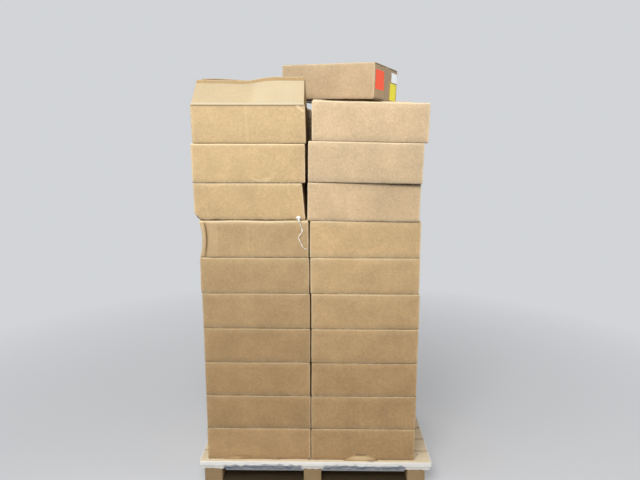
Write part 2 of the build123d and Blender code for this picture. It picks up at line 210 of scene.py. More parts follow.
# On the right, the paler batch lies above this layer
PALE_ABOVE = 7


def linear(hex_colour):
    """sRGB hex to linear RGBA."""
    parts = [int(hex_colour[i:i + 2], 16) / 255 for i in (1, 3, 5)]
    return [c / 12.92 if c <= 0.04045 else ((c + 0.055) / 1.055) ** 2.4 for c in parts] + [1.0]


class Look(bpy.types.PropertyGroup):
    """Sizes and colours that a user would change."""
    board_colour: FloatVectorProperty(
        name="Board", description="Colour of the kraft board", subtype="COLOR", size=4,
        min=0, max=1, default=linear("#ceb184"))
    pale_colour: FloatVectorProperty(
        name="Paler board", description="Colour of the paler batch of board", subtype="COLOR", size=4,
        min=0, max=1, default=linear("#d7bc97"))
    seed: IntProperty(name="Seed", description="Seed of the small irregularities", default=7)
    panel_bulge: FloatProperty(
        name="Panel bulge", description="How far a loaded panel swells, in millimetres", default=2.0)
    waviness: FloatProperty(
        name="Waviness", description="Height of the board's slow waves, in millimetres", default=0.4)
    floor_colour: FloatVectorProperty(
        name="Floor", description="Colour of the floor", subtype="COLOR", size=4,
        min=0, max=1, default=linear("#d2d4d7"))
    key_power: FloatProperty(
        name="Key lamp", description="Power of the key lamp", default=63.0, unit="POWER")
    sky_strength: FloatProperty(
        name="Room light", description="Strength of the light from all sides", default=0.14)


def add_piece(name, points, faces, slot, materials, replaced=(), uv=None, smooth_angle=35.0, **values):
    """Make a finished piece at the origin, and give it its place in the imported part.

    Points are in millimetres, faces are lists of their numbers, the UV has a place in metres for
    every face corner, and values are numbers for the material to read, one per vertex or for all."""
    mesh = bpy.data.meshes.new(name)
    mesh.from_pydata(points * MM, [], faces if isinstance(faces, list) else faces.tolist())
    mesh.update()
    mesh.shade_smooth()
    mesh.set_sharp_from_angle(angle=math.radians(smooth_angle))
    if uv is not None:
        layer = mesh.uv_layers.new(name="surface")
        layer.data.foreach_set("uv", np.asarray(uv, np.float32).ravel())
    for key, value in values.items():
        layer = mesh.attributes.new(key, "FLOAT", "POINT")
        layer.data.foreach_set("value", np.full(len(points), value, np.float32))
    for material in materials:
        mesh.materials.append(material)
    piece = bpy.data.objects.new(name, mesh)
    bpy.context.scene.collection.objects.link(piece)
    if replaced:
        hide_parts(*replaced)
    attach(piece, "root")
    return piece


def vertices_of(mesh):
    """Places of a mesh's vertices, one row each."""
    flat = np.zeros(len(mesh.vertices) * 3)
    mesh.vertices.foreach_get("co", flat)
    return flat.reshape(-1, 3)


def node_points(node):
    """Vertices of a CAD node, in millimetres."""
    return vertices_of(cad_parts[node].data) / MM


def box_of(node):
    """Lowest and highest corners of a CAD node, in millimetres."""
    return (np.array(corner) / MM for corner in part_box(node))


def solid_boxes(node):
    """Lowest and highest corners of each separate solid in a CAD node, in millimetres.

    Vertices at one place are merged, and each solid's label spreads over its triangles."""
    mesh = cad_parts[node].data
    corners = np.zeros(len(mesh.polygons) * 3, int)
    mesh.polygons.foreach_get("vertices", corners)
    places, merged = np.unique(np.round(node_points(node), 2), axis=0, return_inverse=True)
    triangles = merged.ravel()[corners].reshape(-1, 3)
    label = np.arange(len(places))
    spreading = True
    while spreading:
        spread = label.copy()
        np.minimum.at(spread, triangles, label[triangles].min(axis=1)[:, None])
        spreading = bool((spread != label).any())
        label = spread
    return [(places[label == k].min(0), places[label == k].max(0)) for k in np.unique(label)]


def turn_of(points, limit=30.0, step=0.05):
    """Turn about Z, in radians, at which the plan fits the smallest rectangle, of turns up to a limit."""
    turns = np.radians(np.arange(-limit, limit, step))
    along = np.outer(np.cos(turns), points[:, 0]) + np.outer(np.sin(turns), points[:, 1])
    across = np.outer(-np.sin(turns), points[:, 0]) + np.outer(np.cos(turns), points[:, 1])
    return turns[np.argmin(np.ptp(along, axis=1) * np.ptp(across, axis=1))]


def carton_corners(points, rebuilt=(), reach=10.0):
    """Eight sharp corners of a carton's solid, indexed [x side][y side][z side].

    Each is the outermost place, along the carton's own axes, of the vertices within reach of that
    corner. A corner that the solid has knocked in is rebuilt from its face's other three."""
    turn = turn_of(points)
    axes = np.array([[math.cos(turn), math.sin(turn), 0], [-math.sin(turn), math.cos(turn), 0], [0, 0, 1]])
    local = points @ axes.T
    corners = np.zeros((2, 2, 2, 3))
    for corner in np.ndindex(2, 2, 2):
        sign = 2 * np.array(corner) - 1
        score = local @ sign
        near = local[score > score.max() - reach]
        corners[corner] = (sign * (near * sign).max(0)) @ axes
    for i, j, k in rebuilt:
        corners[i, j, k] = corners[1 - i, j, k] + corners[i, 1 - j, k] - corners[1 - i, 1 - j, k]
    return corners


def lattice_lines(half, near_edge, extra=(), cell=CELL):
    """Grid lines from -half to half: some close to each edge, the rest about a cell apart."""
    inner = half - near_edge[-1]
    count = max(2, int(round(2 * inner / cell)))
    lines = np.concatenate([-half + np.array(near_edge), np.linspace(-inner, inner, count + 1),
                            half - np.array(near_edge), np.array(extra, float)])
    return np.unique(np.round(lines, 3))


def box_lattice(xs, ys, zs):
    """Closed box of quads over three sets of grid lines.

    Returns the lattice points, the quads with outward winding, and each quad's side 0 to 5:
    -X, +X, -Y, +Y, -Z, +Z."""
    sizes = (len(xs), len(ys), len(zs))
    shell = np.ones(sizes, bool)
    shell[1:-1, 1:-1, 1:-1] = False
    index = np.full(sizes, -1)
    index[shell] = np.arange(shell.sum())
    i, j, k = np.nonzero(shell)
    points = np.stack([xs[i], ys[j], zs[k]], axis=1)
    quads, sides = [], []
    for side in range(6):
        axis, end = divmod(side, 2)
        sheet = np.take(index, -end, axis=axis)
        corners = [sheet[:-1, :-1], sheet[1:, :-1], sheet[1:, 1:], sheet[:-1, 1:]]
        if (axis == 1) == bool(end):
            corners = corners[::-1]
        quads.append(np.stack([corner.ravel() for corner in corners], axis=1))
        sides.append(np.full(len(quads[-1]), side))
    return points, np.concatenate(quads), np.concatenate(sides)


def box_uv(base, quads, sides):
    """UV of every face corner of a box: its two coordinates along the side it lies on, in metres."""
    axes = np.array([(1, 2), (1, 2), (0, 2), (0, 2), (0, 1), (0, 1)])[sides]
    return np.take_along_axis(base[quads], np.repeat(axes[:, None], 4, axis=1), 2) * MM


def round_edge(a, b, half_a, half_b, radius):
    """Round the corners of the rectangle |a| <= half_a, |b| <= half_b in two coordinates.

    A point in a corner's square is drawn onto the quarter circle about the square's inner point."""
    inner_a = np.clip(a, radius - half_a, half_a - radius)
    inner_b = np.clip(b, radius - half_b, half_b - radius)
    off_a, off_b = a - inner_a, b - inner_b
    reach = np.hypot(off_a, off_b)
    in_corner = (np.abs(off_a) > 1e-9) & (np.abs(off_b) > 1e-9)
    widest = np.maximum(np.abs(off_a), np.abs(off_b))
    scale = np.where(in_corner, widest / np.where(reach > 0, reach, 1), 1.0)
    return inner_a + off_a * scale, inner_b + off_b * scale


def rectangle_ring(xs, ys, radius):
    """Points round a rectangle about the origin, anticlockwise, at even grid lines, its corners rounded."""
    half = np.concatenate([np.stack([xs, np.full(len(xs), ys[0])], 1)[:-1],
                           np.stack([np.full(len(ys), xs[-1]), ys], 1)[:-1]])
    ring = np.concatenate([half, -half])
    return np.stack(round_edge(ring[:, 0], ring[:, 1], xs[-1], ys[-1], radius), 1)


def slab(middle, thickness, wrap=False):
    """Closed board of even thickness about a middle surface, a grid of points.

    Both faces lie half the thickness off along the surface normal, the cross product of the
    grid's two directions, and a rim joins them. Returns points, quads, and True for rim quads.
    With wrap the first direction closes on itself."""
    padded = np.concatenate([middle[-1:], middle, middle[:1]]) if wrap else middle
    along = np.gradient(padded, axis=0)
    along = along[1:-1] if wrap else along
    normal = np.cross(along, np.gradient(middle, axis=1))
    normal /= np.maximum(np.linalg.norm(normal, axis=2, keepdims=True), 1e-9)
    rows, columns = middle.shape[:2]
    points = np.concatenate([(middle + normal * thickness / 2).reshape(-1, 3),
                             (middle - normal * thickness / 2).reshape(-1, 3)])
    index = np.arange(rows * columns).reshape(rows, columns)
    if wrap:
        index = np.concatenate([index, index[:1]])
    under = index + rows * columns
    sheet = np.stack([index[:-1, :-1], index[1:, :-1], index[1:, 1:], index[:-1, 1:]], -1).reshape(-1, 4)
    rims = [(index[:, 0], under[:, 0]), (under[:, -1], index[:, -1])]
    if not wrap:
        rims += [(under[0], index[0]), (index[-1], under[-1])]
    rim = np.concatenate([np.stack([a[:-1], b[:-1], b[1:], a[1:]], -1) for a, b in rims])
    faces = np.concatenate([sheet, sheet[:, ::-1] + rows * columns, rim])
    return points, faces, np.arange(len(faces)) >= 2 * len(sheet)


def tube(rings):
    """Closed tube: rings of points joined by quads, with a flat cap at each end.

    Its faces look outwards where the rings turn anticlockwise, seen from the last one."""
    index = np.arange(rings.shape[0] * rings.shape[1]).reshape(rings.shape[:2])
    after = np.roll(index, -1, axis=1)
    quads = np.stack([index[:-1], after[:-1], after[1:], index[1:]], -1).reshape(-1, 4)
    return rings.reshape(-1, 3), quads.tolist() + [index[0, ::-1].tolist(), index[-1].tolist()]


def join(parts):
    """Join several (points, quads, more) into one; more has a row for every quad."""
    starts = np.cumsum([0] + [len(points) for points, _, _ in parts])
    return (np.concatenate([points for points, _, _ in parts]),
            np.concatenate([quads + start for (_, quads, _), start in zip(parts, starts)]),
            np.concatenate([more for _, _, more in parts]))


def grid_uv(grids):
    """UV of every vertex of slabs made from grids: the summed steps along both directions, in metres."""
    uvs = []
    for grid in grids:
        step_u = np.linalg.norm(np.diff(grid, axis=0, prepend=grid[:1]), axis=2).mean(1).cumsum()
        step_v = np.linalg.norm(np.diff(grid, axis=1, prepend=grid[:, :1]), axis=2).mean(0).cumsum()
        flat = np.stack(np.meshgrid(step_u, step_v, indexing="ij"), -1).reshape(-1, 2) * MM
        uvs += [flat, flat]
    return np.concatenate(uvs)


def wave_table(rng, longest, count=5):
    """Directions, lengths and starts of a few sine waves."""
    direction = rng.normal(size=(count, 3))
    direction /= np.linalg.norm(direction, axis=1, keepdims=True)
    return direction, longest * rng.uniform(0.35, 1.0, count), rng.uniform(0, FULL_TURN, count)


def waves(points, table):
    """Sum of a table's sine waves at each point, about -1 to 1."""
    direction, length, start = table
    return np.sin(points @ direction.T * FULL_TURN / length + start).sum(-1) / math.sqrt(len(length))


def tent(points, start, end, reach):
    """1 on the line from start to end, falling straight to 0 at reach from it, and the place along it."""
    start, end = np.array(start, float), np.array(end, float)
    run = end - start
    along = np.clip((points - start) @ run / max(run @ run, 1e-9), 0, 1)
    away = np.linalg.norm(points - (start + along[..., None] * run), axis=-1)
    return np.clip(1 - away / reach, 0, 1), along


class CartonForm:
    """One carton's shape: how its box of board swells and waves, and where its corners stand."""

    def __init__(self, corners, rng, look):
        self.corners = corners
        edges = (corners[1] - corners[0], corners[:, 1] - corners[:, 0], corners[:, :, 1] - corners[:, :, 0])
        self.size = np.array([np.linalg.norm(edge.mean((0, 1))) for edge in edges])
        self.half = self.size / 2
        self.swell = look.panel_bulge * rng.uniform(0.2, 1.0, 4)
        self.waviness = look.waviness
        self.tables = [wave_table(rng, 260), wave_table(rng, 260), wave_table(rng, 180)]
        self.scuff = wave_table(rng, 70)
        self.sag_table = wave_table(rng, 300)

    def displaced(self, base, shaped=None):
        """Swell each side as (1 - s^2)(1 - t^2) of its two coordinates, and add slow waves."""
        points = (base if shaped is None else shaped).copy()
        share = np.clip(base / self.half, -1, 1)
        dome = 1 - share ** 2
        calm = np.clip((self.half[2] - np.abs(base[..., 2])) / 25, 0.1, 1)
        for axis, other, low, high in ((0, 1, 2, 3), (1, 0, 0, 1)):
            swell = np.where(share[..., axis] > 0.99, self.swell[high], 0)
            swell -= np.where(share[..., axis] < -0.99, self.swell[low], 0)
            points[..., axis] += swell * dome[..., other] * dome[..., 2]
        for axis, strength in enumerate((1.0, 1.0, 0.5)):
            points[..., axis] += strength * self.waviness * waves(base, self.tables[axis]) * calm
        return points

    def placed(self, points):
        """Map the box's own millimetres to the eight corners by their trilinear mean."""
        share = (points / self.size + 0.5)[..., None]
        weight = np.concatenate([1 - share, share], axis=-1)
        return np.einsum("...i,...j,...k,ijkc->...c", weight[..., 0, :], weight[..., 1, :],
                         weight[..., 2, :], self.corners)


def carton_form(look, node):
    """Form of one closed carton, and the random numbers of its own seed."""
    rng = np.random.default_rng(look.seed * 1000 + CARTON_NODES.index(node))
    rebuilt = MARKS.get(node, {}).get("rebuilt", ())
    return CartonForm(carton_corners(node_points(node), rebuilt), rng, look), rng


def carton_lattice(form, marks):
    """Box lattice of a closed carton, with lines at its folds, flap seam, slots and tape edges."""
    hx, hy, hz = form.half
    cell = marks.get("cell", CELL)
    seam_and_tape = (0, SEAM_HALF - 0.4, SEAM_HALF, SEAM_HALF + 0.8, TAPE_HALF, TAPE_HALF + 0.6)
    tape_foot = (hz - TAPE_DROP, hz - TAPE_DROP - 0.6)
    xs = lattice_lines(hx, (0, 1.2, 2.4, END_STEP + 0.3, 5.0, 9.0), marks.get("x_lines", ()), cell)
    ys = lattice_lines(hy, (0, 1.2, 2.4, 4.0, 6.0, 9.0), np.outer((-1, 1), seam_and_tape).ravel(),
                       marks.get("depth_cell", CELL))
    zs = lattice_lines(hz, (0, 1.2, 2.4, 3.6, BOARD - 0.3, BOARD, SLOT_LOW, SLOT_LOW + 0.3, 9.0),
                       np.outer((-1, 1), tape_foot).ravel(), cell)
    return box_lattice(xs, ys, zs)


def press_flaps(form, base):
    """Round the folds of a carton's box, press in the flap seam and step back the flaps' cut ends."""
    hx, hy, hz = form.half
    x, y, z = base.T
    top_gap, end_gap = hz - np.abs(z), hx - np.abs(x)
    seam = (np.abs(y) < SEAM_HALF - 0.2) & (top_gap < 0.1)
    flap_end = (end_gap < 0.1) & (top_gap <= BOARD + 0.01)
    slot = (end_gap < 0.1) & (top_gap > BOARD - 0.01) & (top_gap < SLOT_LOW + 0.01)
    behind_end = (end_gap > 0) & (end_gap < END_STEP) & (top_gap < 0.1)
    x_new = np.where(flap_end, x - np.sign(x) * END_STEP, x)
    x_new = np.where(slot, x - np.sign(x) * END_SLOT_DEPTH, x_new)
    x_new = np.where(behind_end, np.sign(x) * (hx - END_STEP - 0.2 * end_gap), x_new)
    z_new = np.where(seam, z - np.sign(z) * SEAM_DEPTH, z)
    radius = np.where(z > 0, TOP_FOLD_RADIUS, FOOT_FOLD_RADIUS)
    y_new, z_new = round_edge(y, z_new, hy, hz, radius)
    x_round, y_round = round_edge(x_new, y_new, hx, hy, CORNER_RADIUS)
    panel = top_gap > SLOT_LOW
    return np.stack([np.where(panel, x_round, x_new), np.where(panel, y_round, y_new), z_new], axis=1)


def knock_in(form, marks, base, points):
    """Sag, knocks and cuts of a carton.

    The front's upper fold sags in slow waves; a knock pushes the points near a line, as a tent
    over it; a cut draws the points beyond a plane straight back onto it."""
    hx, hy, hz = form.half
    front_top, _ = tent(base, (-hx, -hy, hz), (hx, -hy, hz), SAG_REACH)
    sag = marks.get("sag", SAG) * (0.7 + 0.5 * waves(base, form.sag_table))
    points[:, 2] -= np.clip(sag, 0, None) * front_top
    for start, end, push, reach, fading in marks.get("knocks", ()):
        near, along = tent(base, start * form.half, end * form.half, reach)
        near *= 1 - fading + fading * np.sin(along * math.pi)
        points += near[:, None] * np.array(push)
    for corner, runs in marks.get("cuts", ()):
        inward = np.array(corner) / -np.array(runs, float)
        depth = 1 / np.linalg.norm(inward)
        short = depth - (points - corner * form.half) @ inward * depth
        points += np.clip(short, 0, None)[:, None] * inward * depth


def mark_front(form, marks, base, points):
    """Buckles, creases, strips and shade lines: they push the points, and return how pale and how dark they
    leave the board. The paleness is painted highlight, with torn liner at the creases, and the darkness is
    painted shade.

    A buckle stands out under an arc, as the root of the share of the way down to the foot; a crease is a
    ridge along a line that fades at its ends, and a shade line is only painted shade."""
    _, hy, hz = form.half
    x, y, z = base.T
    front = y < -hy + 1
    pale = np.zeros(len(base))
    dark = np.zeros(len(base))
    for middle, half_width, rise, push in marks.get("buckles", ()):
        across = (x - middle) / half_width
        arc = rise * np.clip(1 - across ** 2, 1e-6, 1)
        inside = np.clip(1 - (z + hz) / arc, 0, 1) * (y < -hy + 4) * (np.abs(across) < 1)
        points[:, 1] -= push * np.sqrt(inside)
        # Painted highlight where the buckle stands out
        pale = np.maximum(pale, 0.28 * push * np.clip(inside * 3, 0, 1) * np.exp(-2 * across ** 2))
    for start, end, width, push in marks.get("creases", ()):
        near, along = tent(base, start, end, width)
        ridge = push * near * np.sin(np.clip(along, 0.03, 0.97) * math.pi) ** 0.4 * front
        points[:, 1] -= ridge
        pale = np.maximum(pale, ridge)
    # Painted highlight over each strip
    for start, end, strength in marks.get("strips", ()):
        pale = np.maximum(pale, strength * (x > start) * (x < end) * front)
    # Painted shade along each shade line
    for start, end, width, strength in marks.get("shade_lines", ()):
        near, along = tent(base, start, end, width)
        dark = np.maximum(dark, strength * near * np.sin(np.clip(along, 0.04, 0.96) * math.pi) ** 0.3)
    return pale, dark


def board_values(form, marks, base, pale, dark):
    """What the board's material reads at each vertex of a closed carton.

    Paleness falls off from the folds as an exponential of the distance, as painted highlight with some
    strained liner, and painted shade falls off from the foot; scuffs do from every edge, in patches. Seam and
    slots get painted shade, and tape is 0 or 1."""
    hx, hy, hz = form.half
    x, y, z = base.T
    top_gap, end_gap, side_gap = hz - np.abs(z), hx - np.abs(x), hy - np.abs(y)
    # Painted highlight along the top, upright and foot folds, partly paler strained liner
    top_fold = marks.get("worn_and_lit_top", 1.0) * np.exp(-(hz - z + side_gap) / marks.get("lip", LIP))
    upright_fold = 0.75 * np.exp(-(end_gap + side_gap) / 3.5)
    foot_fold = 0.1 * np.exp(-(hz + z + side_gap) / 3.2)
    slot = (end_gap < 0.1) & (top_gap > BOARD - 0.4) & (top_gap < SLOT_LOW + 0.4)
    seam = (np.abs(y) < SEAM_HALF + 0.1) & (top_gap < 0.1)
    # Painted shade: the shade lines, the contact shadow along the foot, and the shade in the end slots and
    # the flap seam
    shade = np.maximum.reduce([dark, 0.95 * np.exp(-(hz + z) / 5.5), 0.9 * slot, 1.0 * seam])
    fold = np.maximum.reduce([pale, top_fold, upright_fold, foot_fold]) * (1 - 0.9 * shade)
    edge_gap = np.minimum.reduce([end_gap + side_gap, end_gap + top_gap, side_gap + top_gap])
    scuff = np.clip(np.exp(-edge_gap / 4.0) * (0.6 + 0.4 * waves(base, form.scuff)), 0, 1)
    taped = (np.abs(y) <= TAPE_HALF) & ((top_gap < 0.1) | ((end_gap < 0.1) & (top_gap <= TAPE_DROP)))
    return {"scuff": scuff, "fold": fold, "shade": shade, "taped": taped}


def feed(tree, node, inputs):
    """Give a node's inputs, by name or number, their values or links."""
    for key, value in inputs.items():
        if isinstance(value, bpy.types.NodeSocket):
            tree.links.new(value, node.inputs[key])
        else:
            node.inputs[key].default_value = value


def add_node(tree, kind, inputs=None, output=0, **settings):
    """Add one shader node with its settings and inputs, and return the output that is asked for."""
    node = tree.nodes.new("ShaderNode" + kind)
    for key, value in settings.items():
        setattr(node, key, value)
    feed(tree, node, inputs or {})
    return node.outputs[output]


def new_material(name, fixed):
    """A new material, its nodes and its Principled shader, whose fixed inputs are given."""
    material = bpy.data.materials.new(name)
    material.use_nodes = True
    shader = material.node_tree.nodes["Principled BSDF"]
    feed(material.node_tree, shader, fixed)
    return material, material.node_tree, shader


def flute_wave(tree):
    """Sine of the place across the flutes, at their pitch."""
    along = add_node(tree, "SeparateXYZ", {0: add_node(tree, "UVMap", uv_map="surface")})
    angle = add_node(tree, "Math", {0: along, 1: FULL_TURN / (FLUTE_PITCH * MM)}, operation="MULTIPLY")
    return add_node(tree, "Math", {0: angle}, operation="SINE")


def kraft_board(name, colour):
    """Kraft linerboard glued over corrugated fluting.

    The eye gets a matt brown sheet with cloudy stains, speckled fibre, a faint ribbing at the flutes' pitch
    painted as light and shade, folds paled by strained liner and painted highlight, painted shade in joints,
    seams, slots and creases, and the smoother, darker gloss of packing tape where it is taped. Real fibre is
    finer, and is drawn as coarse as it needs to show."""
    material, tree, shader = new_material(name, {"Specular IOR Level": 0.3})
    place = add_node(tree, "TexCoord", output="Object")
    own = {key: add_node(tree, "Attribute", output="Fac", attribute_name=key)
           for key in ("brown", "fold", "scuff", "shade", "taped", "tone")}
    flutes = flute_wave(tree)
    # The flutes' ribs are painted as a faint light and shade across the board
    value = add_node(tree, "MapRange", {0: flutes, 1: -1.0, 2: 1.0, 3: 0.99, 4: 1.008})
    # Cloudy stains, mottling, specks and clumped fibre: size in millimetres, detail and roughness
    # of the noise, and how dark and how light it makes the board
    for size, detail, roughness, dark, light in (
            (130, 3, 0.5, 0.91, 1.09), (17, 5, 0.65, 0.93, 1.07),
            (8, 2, 0.5, 0.93, 1.06), (3.2, 3, 0.7, 0.82, 1.16)):
        pattern = add_node(tree, "TexNoise", {"Vector": place, "Scale": 1 / (size * MM), "Detail": detail,
                                              "Roughness": roughness})
        lightness = add_node(tree, "MapRange", {0: pattern, 1: 0.3, 2: 0.7, 3: dark, 4: light})
        value = add_node(tree, "Math", {0: value, 1: lightness}, operation="MULTIPLY")
    # Painted shade darkens the board down to a fifth, and the folds' painted highlight lightens it by up to
    # 22 per cent
    for key, reached in (("shade", 0.2), ("fold", 1.22)):
        lightness = add_node(tree, "MapRange", {0: own[key], 3: 1.0, 4: reached})
        value = add_node(tree, "Math", {0: value, 1: lightness}, operation="MULTIPLY")
    browned = add_node(tree, "Mix", {0: own["brown"], 6: list(colour), 7: linear("#bc9a6e")}, 2,
                       data_type="RGBA")
    surface = add_node(tree, "HueSaturation", {"Color": browned, "Value": value})
    chafing = add_node(tree, "TexNoise", {"Vector": place, "Scale": 1 / (11 * MM), "Detail": 4,
                                          "Roughness": 0.6})
    chafed = add_node(tree, "MapRange", {0: chafing, 1: 0.36, 2: 0.62, 3: 0.25, 4: 0.85})
    scuffed = add_node(tree, "Math", {0: own["scuff"], 1: chafed}, operation="MULTIPLY", use_clamp=True)
    # Folds blend towards a pale colour, for strained liner and painted highlight
    fold_pale_and_lit = add_node(tree, "Mix", {0: own["brown"], 6: linear("#f3e3bf"), 7: linear("#dfc497")}, 2,
                         data_type="RGBA")
    folded = add_node(tree, "Math", {0: own["fold"], 1: 0.5}, operation="MULTIPLY")
    for share, coat in ((scuffed, linear("#e9d9ba")), (folded, fold_pale_and_lit),
                        (own["taped"], linear("#b89c72"))):
        surface = add_node(tree, "Mix", {0: share, 6: surface, 7: coat}, 2, data_type="RGBA")
    # The last pattern, the fibre, is felt as well as seen
    height = add_node(tree, "Math", {0: flutes, 1: 0.3, 2: pattern}, operation="MULTIPLY_ADD")
    feed(tree, shader, {
        "Base Color": add_node(tree, "HueSaturation", {"Color": surface, "Value": own["tone"]}),
        "Roughness": add_node(tree, "MapRange", {0: own["taped"], 3: 0.82, 4: 0.28}),
        "Normal": add_node(tree, "Bump", {"Height": height, "Strength": 0.3, "Distance": 0.2 * MM})})
    return material


def cut_board():
    """Sawn edge of corrugated board: the flutes' wave shows as light loops over their hollows, which are
    painted dark as shade.
    """
    material, tree, shader = new_material("kraft_cut_edge", {"Roughness": 0.9, "Specular IOR Level": 0.2})
    loop = add_node(tree, "MapRange", {0: flute_wave(tree), 1: -0.2, 2: 0.5})
    feed(tree, shader, {"Base Color": add_node(
        tree, "Mix", {0: loop, 6: linear("#8f7048"), 7: linear("#d6bb8e")}, 2, data_type="RGBA")})
    return material


def sawn_softwood():
    """Sawn spruce or pine, dry and unplaned: pale early wood between darker lines, a few knots,
    and a rough, greyed surface."""
    material, tree, shader = new_material("sawn_softwood", {"Roughness": 0.86, "Specular IOR Level": 0.25})
    uv = add_node(tree, "UVMap", uv_map="surface")
    along, across = (add_node(tree, "SeparateXYZ", {0: uv}, axis) for axis in "XY")
    own = {key: add_node(tree, "Attribute", output="Fac", attribute_name=key)
           for key in ("aged", "plank", "tone")}
    # The figure is drawn out to twelve times its width along the grain, a knot to twice, and each
    # plank has its own
    places = []
    for drawn_out in (12, 2):
        shortened = add_node(tree, "Math", {0: along, 1: 1 / drawn_out}, operation="MULTIPLY")
        places.append(add_node(tree, "CombineXYZ", {"X": shortened, "Y": across, "Z": own["plank"]}))
    # Swirls of 45 mm and streaks of 3.5 mm
    swirl, streak = (
        add_node(tree, "TexNoise", {"Vector": places[0], "Scale": 1 / (size * MM), "Detail": detail,
                                    "Roughness": roughness})
        for size, detail, roughness in ((45, 3, 0.5), (3.5, 4, 0.65)))
    even = add_node(tree, "Math", {0: across, 1: FULL_TURN / (GROWTH_RING * MM)}, operation="MULTIPLY")
    rings = add_node(tree, "Math", {0: swirl, 1: 16.0, 2: even}, operation="MULTIPLY_ADD")
    ring_wave = add_node(tree, "Math", {0: rings}, operation="SINE")
    late_wood = add_node(tree, "MapRange", {0: ring_wave, 1: -0.1})
    # Knots stand about 140 mm apart
    knots = add_node(tree, "TexVoronoi", {"Vector": places[1], "Scale": 7.0})
    colour = linear("#e6d8bd")
    for share, darker in (
            (add_node(tree, "Math", {0: late_wood, 1: 0.55}, operation="MULTIPLY"), "#c4a679"),
            (add_node(tree, "MapRange", {0: streak, 1: 0.45, 2: 0.75, 4: 0.5}), "#a48d68"),
            (add_node(tree, "MapRange", {0: knots, 1: 0.05, 2: 0.11, 3: 0.85, 4: 0.0}), "#7a5634"),
            (own["aged"], "#a58250")):
        colour = add_node(tree, "Mix", {0: share, 6: colour, 7: linear(darker)}, 2, data_type="RGBA")
    lightness = add_node(tree, "MapRange", {0: streak, 1: 0.3, 2: 0.7, 3: 0.94, 4: 1.05})
    value = add_node(tree, "Math", {0: own["tone"], 1: lightness}, operation="MULTIPLY")
    height = add_node(tree, "Math", {0: late_wood, 1: 0.3, 2: streak}, operation="MULTIPLY_ADD")
    feed(tree, shader, {
        "Base Color": add_node(tree, "HueSaturation", {"Color": colour, "Value": value}),
        "Normal": add_node(tree, "Bump", {"Height": height, "Strength": 0.6, "Distance": 0.6 * MM})})
    return material


def stretch_film():
    """Cast polyethylene stretch film: glossy over fine wrinkles and milky where it is bunched; where thin it
    is drawn nearly opaque and dark blue, as painted shade and painted reflection.
    """
    material, tree, shader = new_material("cast_stretch_film", {"Roughness": 0.2, "Specular IOR Level": 0.7})
    place = add_node(tree, "TexCoord", output="Object")
    # Wrinkles of 6 mm, drawn out round the pallet
    drawn_out = add_node(tree, "Mapping", {"Vector": place, "Scale": (0.06, 0.06, 1.5)})
    streaks = add_node(tree, "TexNoise", {"Vector": drawn_out, "Scale": 1 / (6 * MM), "Detail": 5,
                                          "Roughness": 0.7})
    thick = add_node(tree, "MapRange", {0: streaks, 1: 0.36, 2: 0.64, 3: -0.15, 4: 0.75})
    bunch = add_node(tree, "Attribute", output="Fac", attribute_name="bunch")
    milky = add_node(tree, "Math", {0: thick, 1: bunch}, operation="ADD", use_clamp=True)
    # Where thin, the clear film is drawn dark blue at 0.8 alpha: painted shade of the hollows behind it and
    # painted reflection of blue surroundings
    feed(tree, shader, {
        "Base Color": add_node(tree, "Mix", {0: milky, 6: linear("#5a6e8a"), 7: linear("#fffdf6")}, 2,
                               data_type="RGBA"),
        "Alpha": add_node(tree, "MapRange", {0: milky, 3: 0.8, 4: 0.98}),
        "Normal": add_node(tree, "Bump", {"Height": streaks, "Strength": 0.7, "Distance": 1.0 * MM})})
    return material


def packing_tape():
    """Acrylic packing tape, rolled out: thin tan film with fine lengthwise ripples, glossier than board."""
    material, tree, shader = new_material("acrylic_packing_tape", {"Roughness": 0.27})
    place = add_node(tree, "TexCoord", output="Object")
    ripple = add_node(tree, "TexNoise", {"Vector": place, "Scale": 1 / (9 * MM), "Detail": 3,
                                         "Roughness": 0.5})
    share = add_node(tree, "MapRange", {0: ripple, 1: 0.3, 2: 0.7})
    feed(tree, shader, {
        "Base Color": add_node(tree, "Mix", {0: share, 6: linear("#a38558"), 7: linear("#b4976a")}, 2,
                               data_type="RGBA"),
        "Normal": add_node(tree, "Bump", {"Height": ripple, "Strength": 0.35, "Distance": 0.6 * MM})})
    return material


def label_paper(name, colour, roughness):
    """Self-adhesive label paper, blank: flat fluorescent ink with a faint glow of painted light, so that it
    looks brighter than the light on it, faintly cockled where the board's flutes show."""
    ink = linear(colour)
    # The ink's faint emission is painted light
    material, tree, shader = new_material(
        name, {"Roughness": roughness, "Emission Color": ink, "Emission Strength": 0.22})
    place = add_node(tree, "TexCoord", output="Object")
    cockle = add_node(tree, "TexNoise", {"Vector": place, "Scale": 1 / (12 * MM), "Detail": 3,
                                         "Roughness": 0.6})
    value = add_node(tree, "MapRange", {0: cockle, 1: 0.3, 2: 0.7, 3: 0.93, 4: 1.03})
    feed(tree, shader, {
        "Base Color": add_node(tree, "HueSaturation", {"Color": ink, "Value": value}),
        "Normal": add_node(tree, "Bump", {"Height": cockle, "Strength": 0.3, "Distance": 0.5 * MM})})
    return material


def nail_steel():
    """Bright wire nail head, punched: grey steel, dulled by a little rust."""
    material, tree, shader = new_material("nail_steel", {"Roughness": 0.45, "Metallic": 1.0})
    place = add_node(tree, "TexCoord", output="Object")
    patches = add_node(tree, "TexNoise", {"Vector": place, "Scale": 1 / (4 * MM), "Detail": 3,
                                          "Roughness": 0.6})
    rust = add_node(tree, "MapRange", {0: patches, 1: 0.45, 2: 0.7, 4: 0.7})
    feed(tree, shader, {"Base Color": add_node(
        tree, "Mix", {0: rust, 6: linear("#8b8b88"), 7: linear("#6d4a34")}, 2, data_type="RGBA")})
    return material


def material_named(name, maker, *arguments):
    """The material of that name, made on first use."""
    return bpy.data.materials.get(name) or maker(*arguments)


